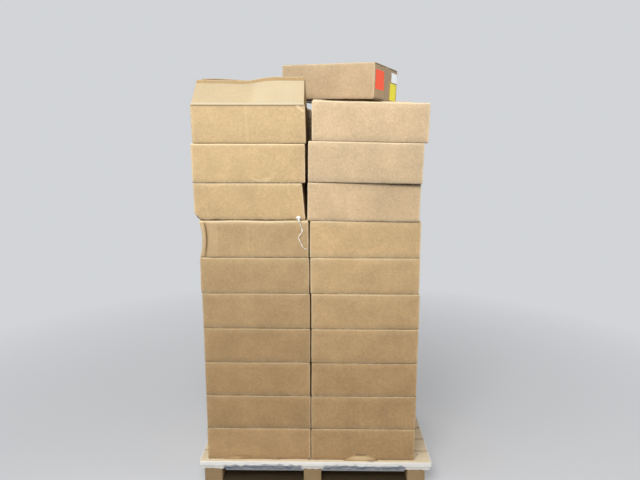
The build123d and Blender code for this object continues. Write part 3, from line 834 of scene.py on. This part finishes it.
def board_of(look, pale=False):
    """Kraft board of a carton, from the plain batch or the paler one."""
    name = "kraft_board_pale" if pale else "kraft_board_plain"
    return material_named(name, kraft_board, name, look.pale_colour if pale else look.board_colour)


class LOAD_OT_cartons(bpy.types.Operator):
    """Build every closed carton over its solid"""
    bl_idname = "load.cartons"
    bl_label = "Closed cartons"

    def execute(self, context):
        look = context.scene.load_look
        for node in CARTON_NODES:
            marks = MARKS.get(node, {})
            column, _, layer = node.rpartition("_")
            if node == "carton_loose":
                column, layer = node, LAYERS
            layer = int(layer)
            form, rng = carton_form(look, node)
            base, quads, sides = carton_lattice(form, marks)
            points = press_flaps(form, base)
            knock_in(form, marks, base, points)
            values = board_values(form, marks, base, *mark_front(form, marks, base, points))
            tone = LAYER_TONES.get(column, {}).get(layer, 1.0) + rng.uniform(-TONE_SPREAD, TONE_SPREAD)
            brown = max(0.0, min(1.0, (BROWN_FROM - layer) / BROWN_LAYERS))
            board = board_of(look, layer > PALE_ABOVE and "left" not in node)
            add_piece(node + "_board", form.placed(form.displaced(base, points)), quads, "kraft_board",
                      [board], [node], box_uv(base, quads, sides), brown=brown, tone=tone, **values)
        return {"FINISHED"}


def open_walls(form):
    """Four walls of the open carton and its floor, as grids of the board's middle.

    A rounded rectangle is carried up from the turned-in bottom flaps to the flap hinges."""
    hx, hy, hz = form.half - BOARD / 2
    xs = lattice_lines(hx, (0, 1.2, 2.4, 5.0), cell=CREASED_CELL)
    ys = lattice_lines(hy, (0, 1.2, 2.4, 5.0), cell=FINE_CELL)
    ring = rectangle_ring(xs, ys, CORNER_RADIUS)
    # How far in and how high the bottom's fold runs
    insets, rises = np.array([(24, 0), (12, 0), (3, 0), (1, 0.8), (0.2, 2.2), (0, 3.6), (0, 9)]).T
    near_hinge = np.array([11, 9, 7.5, 6, 4.5, 3, 1.5, 0])
    heights = np.concatenate([rises - hz, np.linspace(14 - hz, hz - 14, 20), hz - near_hinge])
    insets = np.pad(insets, (0, len(heights) - len(insets)))
    shrink = 1 - insets[None, :, None] / np.array([hx, hy])
    levels = np.broadcast_to(heights[None, :, None], (len(ring), len(heights), 1))
    walls = np.concatenate([ring[:, None] * shrink, levels], 2)
    x, y = np.meshgrid(np.linspace(FLOOR_INSET - hx, hx - FLOOR_INSET, 12),
                       np.linspace(FLOOR_INSET - hy, hy - FLOOR_INSET, 10), indexing="ij")
    floor = np.stack([x, y, np.full_like(x, -hz)], 2)
    return walls, floor


def lean_along(side, share):
    """Lean of a long flap in degrees, at shares from -1 to 1 along it.

    The front flap's has a hump left of the middle and falls in a smooth step right of it, with a
    slight sine over all; the rear flap's is a slow sine."""
    if side > 0:
        return FLAP_LEAN - 5.0 + 3.0 * np.sin(share * 3.1 + 1.0)
    hump = 2.0 * np.exp(-((share + 0.12) / 0.3) ** 2)
    step = 5.6 / (1 + np.exp(-(share - 0.12) / 0.11))
    return FLAP_LEAN + hump - step + 0.3 * np.sin(share * 9.0 + 0.6)


def long_flap(form, side, start, end, lift=0.0):
    """Long flap standing up from a wall, between two distances from its hinge.

    The section is summed from the hinge, where the angle grows quickly to the lean, and bows a
    little further up. The hinge has a raised bead, and lift moves the sheet along its normal."""
    hx, hy, hz = form.half
    xs = np.linspace(FLAP_END_CUT - hx, hx - FLAP_END_CUT, 72)
    steps = np.concatenate([np.linspace(0, 8, 9), np.linspace(8, FLAP_LENGTH, 40)[1:]])
    lean = lean_along(side, xs / xs[-1])
    bend = np.clip(steps / 6.0, 0, 1) ** 0.8
    bow = FLAP_BOW * (steps / FLAP_LENGTH - 0.5)
    angle = np.radians((lean[:, None] + bow) * bend)
    length = np.diff(steps, prepend=0.0)
    inward = (np.sin(angle) * length).cumsum(1)
    upward = (np.cos(angle) * length).cumsum(1)
    bead = HINGE_BEAD * np.exp(-((steps - 3.0) / 2.5) ** 2)
    middle = np.stack([np.broadcast_to(xs[:, None], inward.shape), side * (hy - BOARD / 2 - inward + bead),
                       hz - BOARD / 2 + upward], 2)
    outward = np.stack([np.zeros_like(inward), side * np.cos(angle), np.sin(angle)], 2)
    rows = (steps >= start) & (steps <= end)
    return (middle + outward * lift)[:, rows]


def short_flap(form, side):
    """Short flap folded in and drooping: flat, with a slight sine across it that grows inwards."""
    hx, hy, hz = form.half
    reach = hy - BOARD - FLAP_END_CUT / 2
    across, along = np.meshgrid(np.linspace(-reach, reach, 24), np.linspace(0, FLAP_LENGTH, 20),
                                indexing="ij")
    drop = math.tan(math.radians(SHORT_FLAP_DROOP)) * along
    drop = drop + 2.0 * np.sin(across / 60 + side) * along / FLAP_LENGTH
    return np.stack([side * (hx - BOARD / 2 - along), across, hz - BOARD / 2 - drop], 2)


def facing(grid, side):
    """Turn a grid so that its normal looks outwards on that side."""
    return grid if side < 0 else grid[::-1]


def wall_values(form, grid):
    """Paleness and darkness of the open carton's walls: painted highlight on the corners, a crease and a
    scuff in front, a painted shadow under the hinges, and painted shade at the foot and on the wall that
    faces the gap."""
    hx, hy, hz = form.half
    x, y, z = np.moveaxis(grid, 2, 0)
    # Painted highlight on the upright corners
    corners = np.exp(-np.hypot(hx - np.abs(x), hy - np.abs(y)) / 5.0)
    scuff, _ = tent(grid, (229, -hy, hz - 8), (257, -hy, hz - 34), 7.0)
    crease, _ = tent(grid, (-10, -hy, hz - 5), (-7, -hy, 12 - hz), 5.0)
    # Painted shadow under the hinge bead, and painted shade at the foot and on the wall that faces the gap
    hinge_shadow = 0.85 * np.exp(-((hz - z - 6.5) / 2.4) ** 2)
    foot = 0.85 * np.exp(-(z + hz) / 4.0)
    gap_side = 0.8 * (x > hx - 6) * (y > 6 - hy)
    pale = np.maximum.reduce([corners, 1.8 * scuff, 0.5 * crease])
    return pale, np.maximum.reduce([hinge_shadow, foot, gap_side])


def raised_flap_values(form, grid):
    """Paleness and darkness of a raised flap: a painted highlight along its hinge's bead, pale at its free
    edge, paler from just right of the middle on in a smooth step, with a sine over it."""
    hz = form.half[2]
    x, _, z = np.moveaxis(grid, 2, 0)
    # Painted highlight along the hinge's bead
    fold = 0.7 + 1.2 * np.exp(-((z - hz - 1.0) / 3.2) ** 2)
    fold += 0.5 / (1 + np.exp(-(x - 25.0) / 9.0)) * (1 + 0.3 * np.sin(x / 23.0))
    fold[:, -5:] = 1.5
    return fold, np.zeros_like(fold)


class LOAD_OT_open_carton(bpy.types.Operator):
    """Build the open carton with its raised flaps, and the slit tape along their free edges"""
    bl_idname = "load.open_carton"
    bl_label = "Open carton"

    def execute(self, context):
        look = context.scene.load_look
        rng = np.random.default_rng(look.seed * 1000 + len(CARTON_NODES))
        # The walls end about where a closed carton of the same batch does, under the raised flaps
        points = node_points("open_carton")
        closed_height = np.ptp(node_points("carton_rear_left_10")[:, 2])
        walls_only = points[:, 2] < points[:, 2].min() + closed_height - 1.0
        form = CartonForm(carton_corners(points[walls_only]), rng, look)
        walls, floor = open_walls(form)
        raised = [facing(long_flap(form, side, 0, FLAP_LENGTH), side) for side in (-1, 1)]
        folded = [facing(short_flap(form, side), side) for side in (-1, 1)]
        grids = [form.displaced(walls), floor[:, ::-1]] + raised + folded
        values = [wall_values(form, grids[0])] + [np.zeros((2,) + grids[1].shape[:2])]
        values += [raised_flap_values(form, grid) for grid in raised]
        values += [np.zeros((2,) + grid.shape[:2]) for grid in folded]
        # A slab has each of its grid's points twice, on its two faces
        fold, shade = (np.concatenate([np.tile(np.ravel(pair[k]), 2) for pair in values]) for k in (0, 1))
        stands = np.concatenate([np.full(2 * grid[..., 0].size, 2 <= k < 4) for k, grid in enumerate(grids)])
        points, quads, rim = join([slab(form.placed(grid), BOARD, wrap=k == 0)
                                   for k, grid in enumerate(grids)])
        piece = add_piece("open_carton_board", points, quads, "kraft_board",
                          [board_of(look), material_named("kraft_cut_edge", cut_board)], ["open_carton"],
                          grid_uv(grids)[quads], fold=fold, shade=shade, scuff=0.05 + 0.25 * stands,
                          tone=0.94 - 0.29 * stands, taped=0.0, brown=0.0)
        piece.data.polygons.foreach_set("material_index", rim.astype(np.int32))

        tapes = []
        edge = FLAP_LENGTH - CUT_TAPE_INSET
        for side in (-1, 1):
            strip = long_flap(form, side, edge - CUT_TAPE_WIDTH, edge, BOARD / 2 + TAPE_LIFT)
            ragged = 0.25 * rng.uniform(0, 1.0, len(strip)) - 0.2
            strip[:, 0] += (strip[:, 1] - strip[:, 0]) * ragged[:, None]
            tapes.append(slab(form.placed(facing(strip, side)), CUT_TAPE_THICKNESS))
        points, quads, _ = join(tapes)
        add_piece("slit_tape_film", points, quads, "packing_tape",
                  [material_named("acrylic_packing_tape", packing_tape)], ["slit_tape"])
        return {"FINISHED"}


def tape_path(form, drop):
    """Grid along a carton's top seam and down both ends by a drop, turning over its edges in arcs."""
    hx, _, hz = form.half
    radius = 3.0
    turn = np.linspace(0, math.pi / 2, 6)[1:-1]
    down = np.linspace(hz - drop, hz - radius - 1, max(4, int(drop / 12)))
    corner_x, corner_z = hx - radius + radius * np.cos(turn), hz - radius + radius * np.sin(turn)
    top = np.linspace(hx - radius - 1, radius + 1 - hx, 60)
    x = np.concatenate([np.full(len(down), hx), corner_x, top, -corner_x[::-1], np.full(len(down), -hx)])
    z = np.concatenate([down, corner_z, np.full(len(top), hz), corner_z[::-1], down[::-1]])
    return np.stack(np.broadcast_arrays(x[:, None], np.linspace(-TAPE_HALF, TAPE_HALF, 9), z[:, None]), 2)


def outward_of(form, grid):
    """Direction outwards at points on a box's surface: along the axes on which they lie at its edge."""
    share = grid / form.half
    away = np.where(np.abs(share) > 0.985, np.sign(share), 0)
    return away / np.maximum(np.linalg.norm(away, axis=-1, keepdims=True), 1)


class LOAD_OT_tapes(bpy.types.Operator):
    """Build the tape of the loose carton and of the cartons whose tops lie open"""
    bl_idname = "load.tapes"
    bl_label = "Packing tape"

    def execute(self, context):
        look = context.scene.load_look
        tape = material_named("acrylic_packing_tape", packing_tape)
        bare_tops = [f"carton_{side}_{LAYERS}" for side in ("front_right", "rear_left", "rear_right")]
        for name, nodes in (("loose_tape", ["carton_loose"]), ("seam_tape", bare_tops)):
            strips = []
            for node in nodes:
                form, rng = carton_form(look, node)
                grid = tape_path(form, form.size[2] - 4 if node == "carton_loose" else TAPE_DROP)
                lift = TAPE_LIFT + 0.12 * (1 + waves(grid, wave_table(rng, 60)))
                raised = form.displaced(grid) + outward_of(form, grid) * lift[..., None]
                strips.append(slab(form.placed(raised[:, ::-1]), TAPE_THICKNESS))
            points, quads, _ = join(strips)
            add_piece(name + "_film", points, quads, "packing_tape", [tape], [name])
        return {"FINISHED"}


class LOAD_OT_labels(bpy.types.Operator):
    """Lay three blank labels on the loose carton's end"""
    bl_idname = "load.labels"
    bl_label = "Blank labels"

    def execute(self, context):
        form, rng = carton_form(context.scene.load_look, "carton_loose")
        hx, hy, hz = form.half
        for name, (colour, roughness, across, up) in LABELS.items():
            y, z = np.meshgrid(np.linspace(*across, 14) - hy, np.linspace(*up, 12) - hz, indexing="ij")
            grid = np.stack([np.full_like(y, hx), y, z], 2)
            rim = np.minimum.reduce([y - y.min(), y.max() - y, z - z.min(), z.max() - z])
            curl = 1.2 * np.exp(-rim / 5) * np.clip(waves(grid, wave_table(rng, 90)), 0, 1)
            raised = form.displaced(grid)
            raised[..., 0] += TAPE_LIFT + curl
            points, quads, _ = slab(form.placed(raised), TAPE_THICKNESS)
            add_piece("label_" + name, points, quads, "kraft_board",
                      [label_paper("label_paper_" + name, colour, roughness)])
        return {"FINISHED"}


def plank_surface(low, high, along, radius, rng):
    """One sawn plank or block: a box lattice with its edges rounded and its faces gently uneven.

    Along is the axis of its grain. Returns its points, its quads and their UV."""
    middle, half = (low + high) / 2, (high - low) / 2
    cells = [PLANK_CELL if axis == along else PLANK_SIDE_CELL for axis in range(3)]
    lines = [lattice_lines(half[axis], (0, 0.8, radius), cell=cells[axis]) for axis in range(3)]
    base, quads, sides = box_lattice(*lines)
    x, y, z = base.T
    if along == 0:
        y, z = round_edge(y, z, half[1], half[2], radius)
    else:
        x, y = round_edge(x, y, half[0], half[1], radius)
    rough = np.stack([waves(base + middle, wave_table(rng, 120)) for _ in range(3)], 1)
    rough[:, 2] *= np.clip((half[2] - np.abs(base[:, 2])) / 5, 0, 1)
    uv = box_uv(base, quads, sides)
    if along == 1:
        uv = uv[..., ::-1]
    return np.stack([x, y, z], 1) + ROUGHNESS_OF_SAWING * rough + middle, quads, uv


class LOAD_OT_pallet(bpy.types.Operator):
    """Build the pallet's boards and blocks, and the nail heads in its deck"""
    bl_idname = "load.pallet"
    bl_label = "Pallet"

    def execute(self, context):
        look = context.scene.load_look
        wood = material_named("sawn_softwood", sawn_softwood)
        rng = np.random.default_rng(look.seed)
        # Axis of the grain, edge radius, darkest and lightest tone, and share of age
        # The deck's tones light it past the wood's colour, as painted light from above; the low tones of the
        # blocks and bottom boards are partly painted shade under the deck and partly darker, dirtier wood
        for node, along, radius, tones, aged in (("deck_boards", 0, 2.0, (1.14, 1.24), 0.0),
                                                 ("stringer_boards", 1, 1.5, (0.74, 0.86), 0.3),
                                                 ("blocks", 2, 2.0, (0.78, 1.02), 0.75),
                                                 ("bottom_boards", 0, 4.0, (0.5, 0.6), 0.7)):
            parts, planks, tone = [], [], []
            for low, high in solid_boxes(node):
                points, quads, uv = plank_surface(low, high, along, radius, rng)
                parts.append((points, quads, uv))
                planks.append(np.full(len(points), rng.uniform(0, 9)))
                # Painted shade darkens the tops of the bottom boards, for the deep shade under the deck
                under_deck_shade = (node == "bottom_boards") * np.clip((points[:, 2] - high[2] + 3) / 2, 0, 1)
                tone.append(rng.uniform(*tones) * (1 - 0.72 * under_deck_shade))
            points, quads, uv = join(parts)
            add_piece(node + "_wood", points, quads, "pallet_wood", [wood], [node], uv,
                      plank=np.concatenate(planks), tone=np.concatenate(tone), aged=aged)
        self.nails(rng)
        return {"FINISHED"}

    def nails(self, rng):
        """Nail heads: rings at the radius times the cosine and sine of an angle, two per crossing."""
        angle = np.linspace(0, FULL_TURN, NAIL_SIDES + 1)[:-1]
        all_points, all_faces = [], []
        for low, high in solid_boxes("deck_boards"):
            for post_low, post_high in solid_boxes("stringer_boards"):
                for share in (-0.28, 0.28):
                    middle = np.array([post_low[0] + post_high[0], low[1] + high[1]]) / 2
                    middle += np.array([60, 90]) * share + rng.uniform(-7, 7, 2)
                    rings = [np.stack([middle[0] + radius * np.cos(angle),
                                       middle[1] + radius * np.sin(angle),
                                       np.full(NAIL_SIDES, high[2] + lift)], 1)
                             for radius, lift in NAIL_RINGS]
                    points, faces = tube(np.array(rings))
                    top = faces.pop()
                    faces += [[first, second, len(points)] for first, second in zip(top, top[1:] + top[:1])]
                    start = len(all_points)
                    all_points += points.tolist() + [[*middle, high[2] + NAIL_CROWN]]
                    all_faces += [[start + corner for corner in face] for face in faces]
        add_piece("deck_nails", np.array(all_points), all_faces, "pallet_wood",
                  [material_named("nail_steel", nail_steel)], smooth_angle=180.0)


class LOAD_OT_film(bpy.types.Operator):
    """Build the torn film: its hanging tail, the scrap that it comes from, and the band round the deck"""
    bl_idname = "load.film"
    bl_label = "Stretch film"

    def execute(self, context):
        film = material_named("cast_stretch_film", stretch_film)
        rng = np.random.default_rng(context.scene.load_look.seed + 1)
        self.tail(film)
        self.scrap(film, rng)
        self.band(film, rng)
        return {"FINISHED"}

    def tail(self, film):
        """Twisted flat strand along the route, a NURBS curve.

        Its section is an ellipse whose width swells and shrinks along the strand while it turns
        once in every twist pitch; two lumps stand for its knots."""
        route = (np.array(TAIL_START) + np.array(TAIL_ROUTE, float) * (1, -1, 1)) * MM
        curve = bpy.data.curves.new("tail_route", "CURVE")
        curve.dimensions = "3D"
        curve.resolution_u = 12
        spline = curve.splines.new("NURBS")
        spline.points.add(len(route) - 1)
        spline.points.foreach_set("co", np.concatenate([route, np.ones((len(route), 1))], 1).ravel())
        spline.order_u = 3
        spline.use_endpoint_u = True
        guide = bpy.data.objects.new("tail_route", curve)
        line = bpy.data.meshes.new_from_object(guide)
        followed = vertices_of(line)
        bpy.data.meshes.remove(line)
        bpy.data.objects.remove(guide)

        along = np.linalg.norm(np.diff(followed, axis=0, prepend=followed[:1]), axis=1).cumsum() / MM
        tangent = np.gradient(followed, axis=0)
        tangent /= np.linalg.norm(tangent, axis=1, keepdims=True)
        side = np.cross(tangent, (0.0, 1.0, 0.0))
        side /= np.linalg.norm(side, axis=1, keepdims=True)
        front = np.cross(side, tangent)
        twist = along[:, None] * FULL_TURN / TAIL_TWIST_PITCH
        lumps = 0.35 * np.exp(-((along - 62) / 5) ** 2) + 0.45 * np.exp(-((along - 4) / 7) ** 2)
        wide = TAIL_DIAMETER / 2 * (1.55 + 0.25 * np.sin(along / 7.0) + lumps - 0.35 * along / along[-1])
        thin = TAIL_DIAMETER / 2 * (0.74 + 0.12 * np.sin(along / 4.3) + lumps)
        turn = np.linspace(FULL_TURN, 0, 13)[:-1]
        ellipse_wide, ellipse_thin = np.outer(wide, np.cos(turn)), np.outer(thin, np.sin(turn))
        to_side = ellipse_wide * np.cos(twist) - ellipse_thin * np.sin(twist)
        to_front = ellipse_wide * np.sin(twist) + ellipse_thin * np.cos(twist)
        rings = (followed[:, None] / MM + side[:, None] * to_side[..., None]
                 + front[:, None] * to_front[..., None])
        piece = add_piece("film_tail_strand", *tube(rings), "stretch_film", [film], ["film_tail"],
                          smooth_angle=180.0, bunch=1.0)

    def scrap(self, film, rng):
        """Crumpled lump and its shreds.

        The lump is an ellipsoid whose radius is cut by creases, |sine| waves in many directions.
        A shred is a ribbon that follows a drooping arc and narrows to a point."""
        low, high = box_of("film_scrap")
        middle, half = (low + high) / 2, (high - low) / 2
        turn = np.linspace(0, FULL_TURN, 49)[:-1]
        rise = np.linspace(0.06, math.pi - 0.06, 30)
        ball = np.stack([np.outer(np.sin(rise), np.cos(turn)), np.outer(np.sin(rise), np.sin(turn)),
                         np.outer(-np.cos(rise), np.ones_like(turn))], 2)
        creases = 1 - 0.3 * np.abs(waves(ball * 10, wave_table(rng, 14, 4)))
        creases -= 0.16 * np.abs(waves(ball * 10, wave_table(rng, 5, 5)))
        add_piece("film_scrap_lump", *tube(ball * creases[..., None] * half + middle), "stretch_film", [film],
                  ["film_scrap"], smooth_angle=180.0, bunch=1.0)

        along, across = np.meshgrid(np.linspace(0, 1, 12), np.linspace(-1, 1, 4), indexing="ij")
        shreds = []
        for out_x, out_z, width in WISPS:
            beside = width / 2 * (1 - 0.9 * along) * across
            shred = np.stack([out_x * along + beside * np.sign(out_z) * 0.5, -3.5 * np.sin(along * 2.4) - 1.5,
                              out_z * along - 3.0 * along ** 2 + beside], 2)
            shreds.append(slab(shred + middle, SHRED_SKIN))
        points, quads, _ = join(shreds)
        add_piece("film_scrap_wisps", points, quads, "stretch_film", [film], bunch=0.85)

    def open_shares(self, ring, long_side):
        """How far each place is over an opening: 1 - s^2 across each bay from block to block, else 0."""
        posts = [(low[0], high[0]) for low, high in solid_boxes("stringer_boards")]
        rows = np.unique([(low[1], high[1]) for low, high in solid_boxes("blocks")], axis=0)
        shares = np.zeros(len(ring))
        for spans, axis, chosen in ((posts, 0, long_side), (rows, 1, ~long_side)):
            for first, second in zip(spans[:-1], spans[1:]):
                middle, reach = (first[1] + second[0]) / 2, (second[0] - first[1]) / 2
                bay = np.clip(1 - ((ring[:, axis] - middle) / reach) ** 2, 0, 1)
                shares = np.where(chosen, np.maximum(shares, bay), shares)
        return shares

    def band(self, film, rng):
        """Wrinkled band: a profile down the deck's edge, carried round the pallet.

        The profile runs from a lip on the deck, over its edge, down its side and in under it; long
        ripples along the band push it in and out, and its lower edge rises over each fork opening."""
        (_, _, under), (half_x, half_y, top) = box_of("deck_boards")
        (_, _, hem), _ = box_of("film_band")
        ring = rectangle_ring(np.linspace(-half_x, half_x, 261), np.linspace(-half_y, half_y, 177),
                              BAND_CORNER_RADIUS)
        tangent = np.roll(ring, -1, 0) - np.roll(ring, 1, 0)
        tangent /= np.linalg.norm(tangent, axis=1, keepdims=True)
        outward = np.stack([tangent[:, 1], -tangent[:, 0]], 1)
        long_side = np.abs(outward[:, 1]) > 0.7
        open_share = self.open_shares(ring, long_side)
        tuck = np.where(long_side, LONG_SIDE_TUCK, SHORT_SIDE_TUCK)
        place = np.pad(ring, ((0, 0), (0, 1)))
        hem_rise = open_share * 2.0 + 1.0 + 2.6 * waves(place, wave_table(rng, 60, 6))

        # Share of the way down the profile, how far it stands out from the deck's edge, and its height
        share, stand, level = np.transpose([
            (0, -3.0, top + 0.7), (0.2, -0.6, top + 0.7), (0.25, 0.5, top + 0.4), (0.3, 0.9, top - 1),
            (0.66, 1.1, under), (0.8, 0, under), (1.0, 0, under)])
        steps = np.array([0, 0.12, 0.2, 0.25, 0.3, 0.42, 0.55, 0.66, 0.72, 0.8, 0.9, 1.0])
        hanging = np.clip((steps - 0.66) / 0.34, 0, 1)
        tucked = np.clip(hanging * 1.3, 0, 1) ** 0.7
        offset = np.interp(steps, share, stand) - tuck[:, None] * tucked
        drop = (under - hem - 1.0 - hem_rise[:, None]).clip(6, None)
        height = np.interp(steps, share, level) - hanging * drop
        tables = [wave_table(rng, 160, 6), wave_table(rng, 45, 6), wave_table(rng, 16, 5)]
        spot = np.stack(np.broadcast_arrays(ring[:, :1], ring[:, 1:], height * 3), 2)
        ripple = 0.8 + sum(size * waves(spot, table) for size, table in zip((0.9, 0.6, 0.35), tables))
        offset = offset + np.clip(ripple, 0, 3.5) * np.interp(steps, [0, 0.2, 0.35, 1], [0.1, 0.2, 1, 1.2])
        grid = np.concatenate([ring[:, None] + outward[:, None] * offset[..., None], height[..., None]], 2)

        # Sheer over the openings, from a wandering line on the deck's edge down; there the film gets the dark
        # colour of painted shade from the openings behind
        wander = 0.08 * waves(place, wave_table(rng, 110, 6))[:, None]
        sheer_shade = np.clip(open_share[:, None] * 6, 0, 1) * np.clip((steps - 0.48 + wander) / 0.2, 0, 1)
        bunch = (1.0 - sheer_shade * (0.95 + 0.25 * hanging))[:, ::-1]
        points, quads, _ = slab(grid[:, ::-1], FILM_SKIN, wrap=True)
        add_piece("film_band_skin", points, quads, "stretch_film", [film], ["film_band"],
                  smooth_angle=60.0, bunch=np.tile(bunch.ravel(), 2))


def seen_directly(tree):
    """1 for the rays that show the background, from the camera, mirrored or through glass, else 0."""
    seen = 0.0
    for ray in ("Is Camera Ray", "Is Glossy Ray", "Is Transmission Ray"):
        seen = add_node(tree, "Math", {0: seen, 1: add_node(tree, "LightPath", output=ray)},
                        operation="ADD", use_clamp=True)
    return seen


class LOAD_OT_stage(bpy.types.Operator):
    """Camera at the photograph's angle, pale floor and soft studio light"""
    bl_idname = "load.stage"
    bl_label = "Stage"

    def execute(self, context):
        context.scene.view_settings.view_transform = "Standard"
        self.camera(context.scene)
        self.floor(context.scene)
        self.room(context.scene)
        self.lamps(context.scene)
        return {"FINISHED"}

    def camera(self, scene):
        """Camera at standing eye height, a little to the right, looking down slightly."""
        camera = bpy.data.objects.new("camera", bpy.data.cameras.new("camera"))
        scene.collection.objects.link(camera)
        camera.data.sensor_width = 36.0
        camera.data.lens = 29.25
        camera.location = (0.0472, -2.8291, 1.7737)
        camera.rotation_euler = Euler((math.pi / 2 - 0.18687, -0.00167, 0.01063), "XYZ")
        scene.camera = camera

    def floor(self, scene):
        """Pale floor that fades, where it is seen directly, into an even ground of one colour, from
        1 m to 3.6 m off the pallet's middle."""
        mesh = bpy.data.meshes.new("floor")
        mesh.from_pydata([(-40, -40, 0), (40, -40, 0), (40, 40, 0), (-40, 40, 0)], [], [(0, 1, 2, 3)])
        floor = bpy.data.objects.new("floor", mesh)
        scene.collection.objects.link(floor)
        material, tree, shader = new_material(
            "floor_pale", {"Base Color": linear("#e9eaec"), "Roughness": 0.9, "Specular IOR Level": 0.2})
        place = add_node(tree, "TexCoord", output="Object")
        away = add_node(tree, "VectorMath", {0: place}, "Value", operation="LENGTH")
        faded = add_node(tree, "MapRange", {0: away, 1: 1.0, 2: 3.6, 3: 0.3})
        share = add_node(tree, "Math", {0: seen_directly(tree), 1: faded}, operation="MULTIPLY")
        glow = add_node(tree, "Emission", {"Color": list(scene.load_look.floor_colour), "Strength": 1.0})
        mixed = add_node(tree, "MixShader", {0: share, 1: shader.outputs[0], 2: glow})
        feed(tree, tree.nodes["Material Output"], {"Surface": mixed})
        mesh.materials.append(material)

    def room(self, scene):
        """Soft light from all sides, and the floor's colour where the room is seen directly."""
        scene.world = bpy.data.worlds.new("studio")
        scene.world.use_nodes = True
        tree = scene.world.node_tree
        look = scene.load_look
        light = add_node(tree, "Background", {"Color": linear("#f1f2f5"), "Strength": look.sky_strength})
        shown = add_node(tree, "Background", {"Color": list(look.floor_colour), "Strength": 1.0})
        mixed = add_node(tree, "MixShader", {0: seen_directly(tree), 1: light, 2: shown})
        feed(tree, tree.nodes["World Output"], {"Surface": mixed})

    def lamps(self, scene):
        """Square lamps: place, the point that each looks at, size, and power against the key lamp's."""
        for name, place, aim, size, share in (("key", (-0.45, -2.7, 3.0), (0, -0.3, 1.75), 1.4, 1.0),
                                              ("top", (-1.0, -1.3, 3.7), (-0.3, -0.8, 0), 2.0, 0.6),
                                              ("fill", (2.9, -0.8, 2.7), (0.2, 0, 1.8), 1.6, 0.5),
                                              ("rear", (-2.0, 3.2, 3.2), (0, 0, 1.4), 2.0, 0.35)):
            data = bpy.data.lights.new(name, "AREA")
            data.size = size
            data.energy = scene.load_look.key_power * share
            lamp = bpy.data.objects.new(name, data)
            scene.collection.objects.link(lamp)
            lamp.location = place
            away = np.array(aim) - np.array(place)
            pitch = math.atan2(math.hypot(away[0], away[1]), -away[2])
            lamp.rotation_euler = Euler((pitch, 0, math.atan2(away[1], away[0]) - math.pi / 2), "XYZ")


class LOAD_PT_panel(bpy.types.Panel):
    """Lists the load's pieces in the sidebar"""
    bl_idname = "LOAD_PT_panel"
    bl_label = "Pallet load"
    bl_space_type = "VIEW_3D"
    bl_region_type = "UI"
    bl_category = "Pallet load"

    def draw(self, context):
        for name in Look.__annotations__:
            self.layout.prop(context.scene.load_look, name)
        for operator in OPERATORS:
            self.layout.operator(operator.bl_idname)


OPERATORS = (LOAD_OT_stage, LOAD_OT_film, LOAD_OT_pallet, LOAD_OT_cartons, LOAD_OT_open_carton,
             LOAD_OT_tapes, LOAD_OT_labels)
CLASSES = (Look,) + OPERATORS + (LOAD_PT_panel,)


def register():
    for cls in CLASSES:
        bpy.utils.register_class(cls)
    bpy.types.Scene.load_look = PointerProperty(type=Look)


def unregister():
    del bpy.types.Scene.load_look
    for cls in reversed(CLASSES):
        bpy.utils.unregister_class(cls)


def main():
    register()
    for operator in OPERATORS:
        group, name = operator.bl_idname.split(".")
        getattr(getattr(bpy.ops, group), name)()


if __name__ == "__main__":
    main()
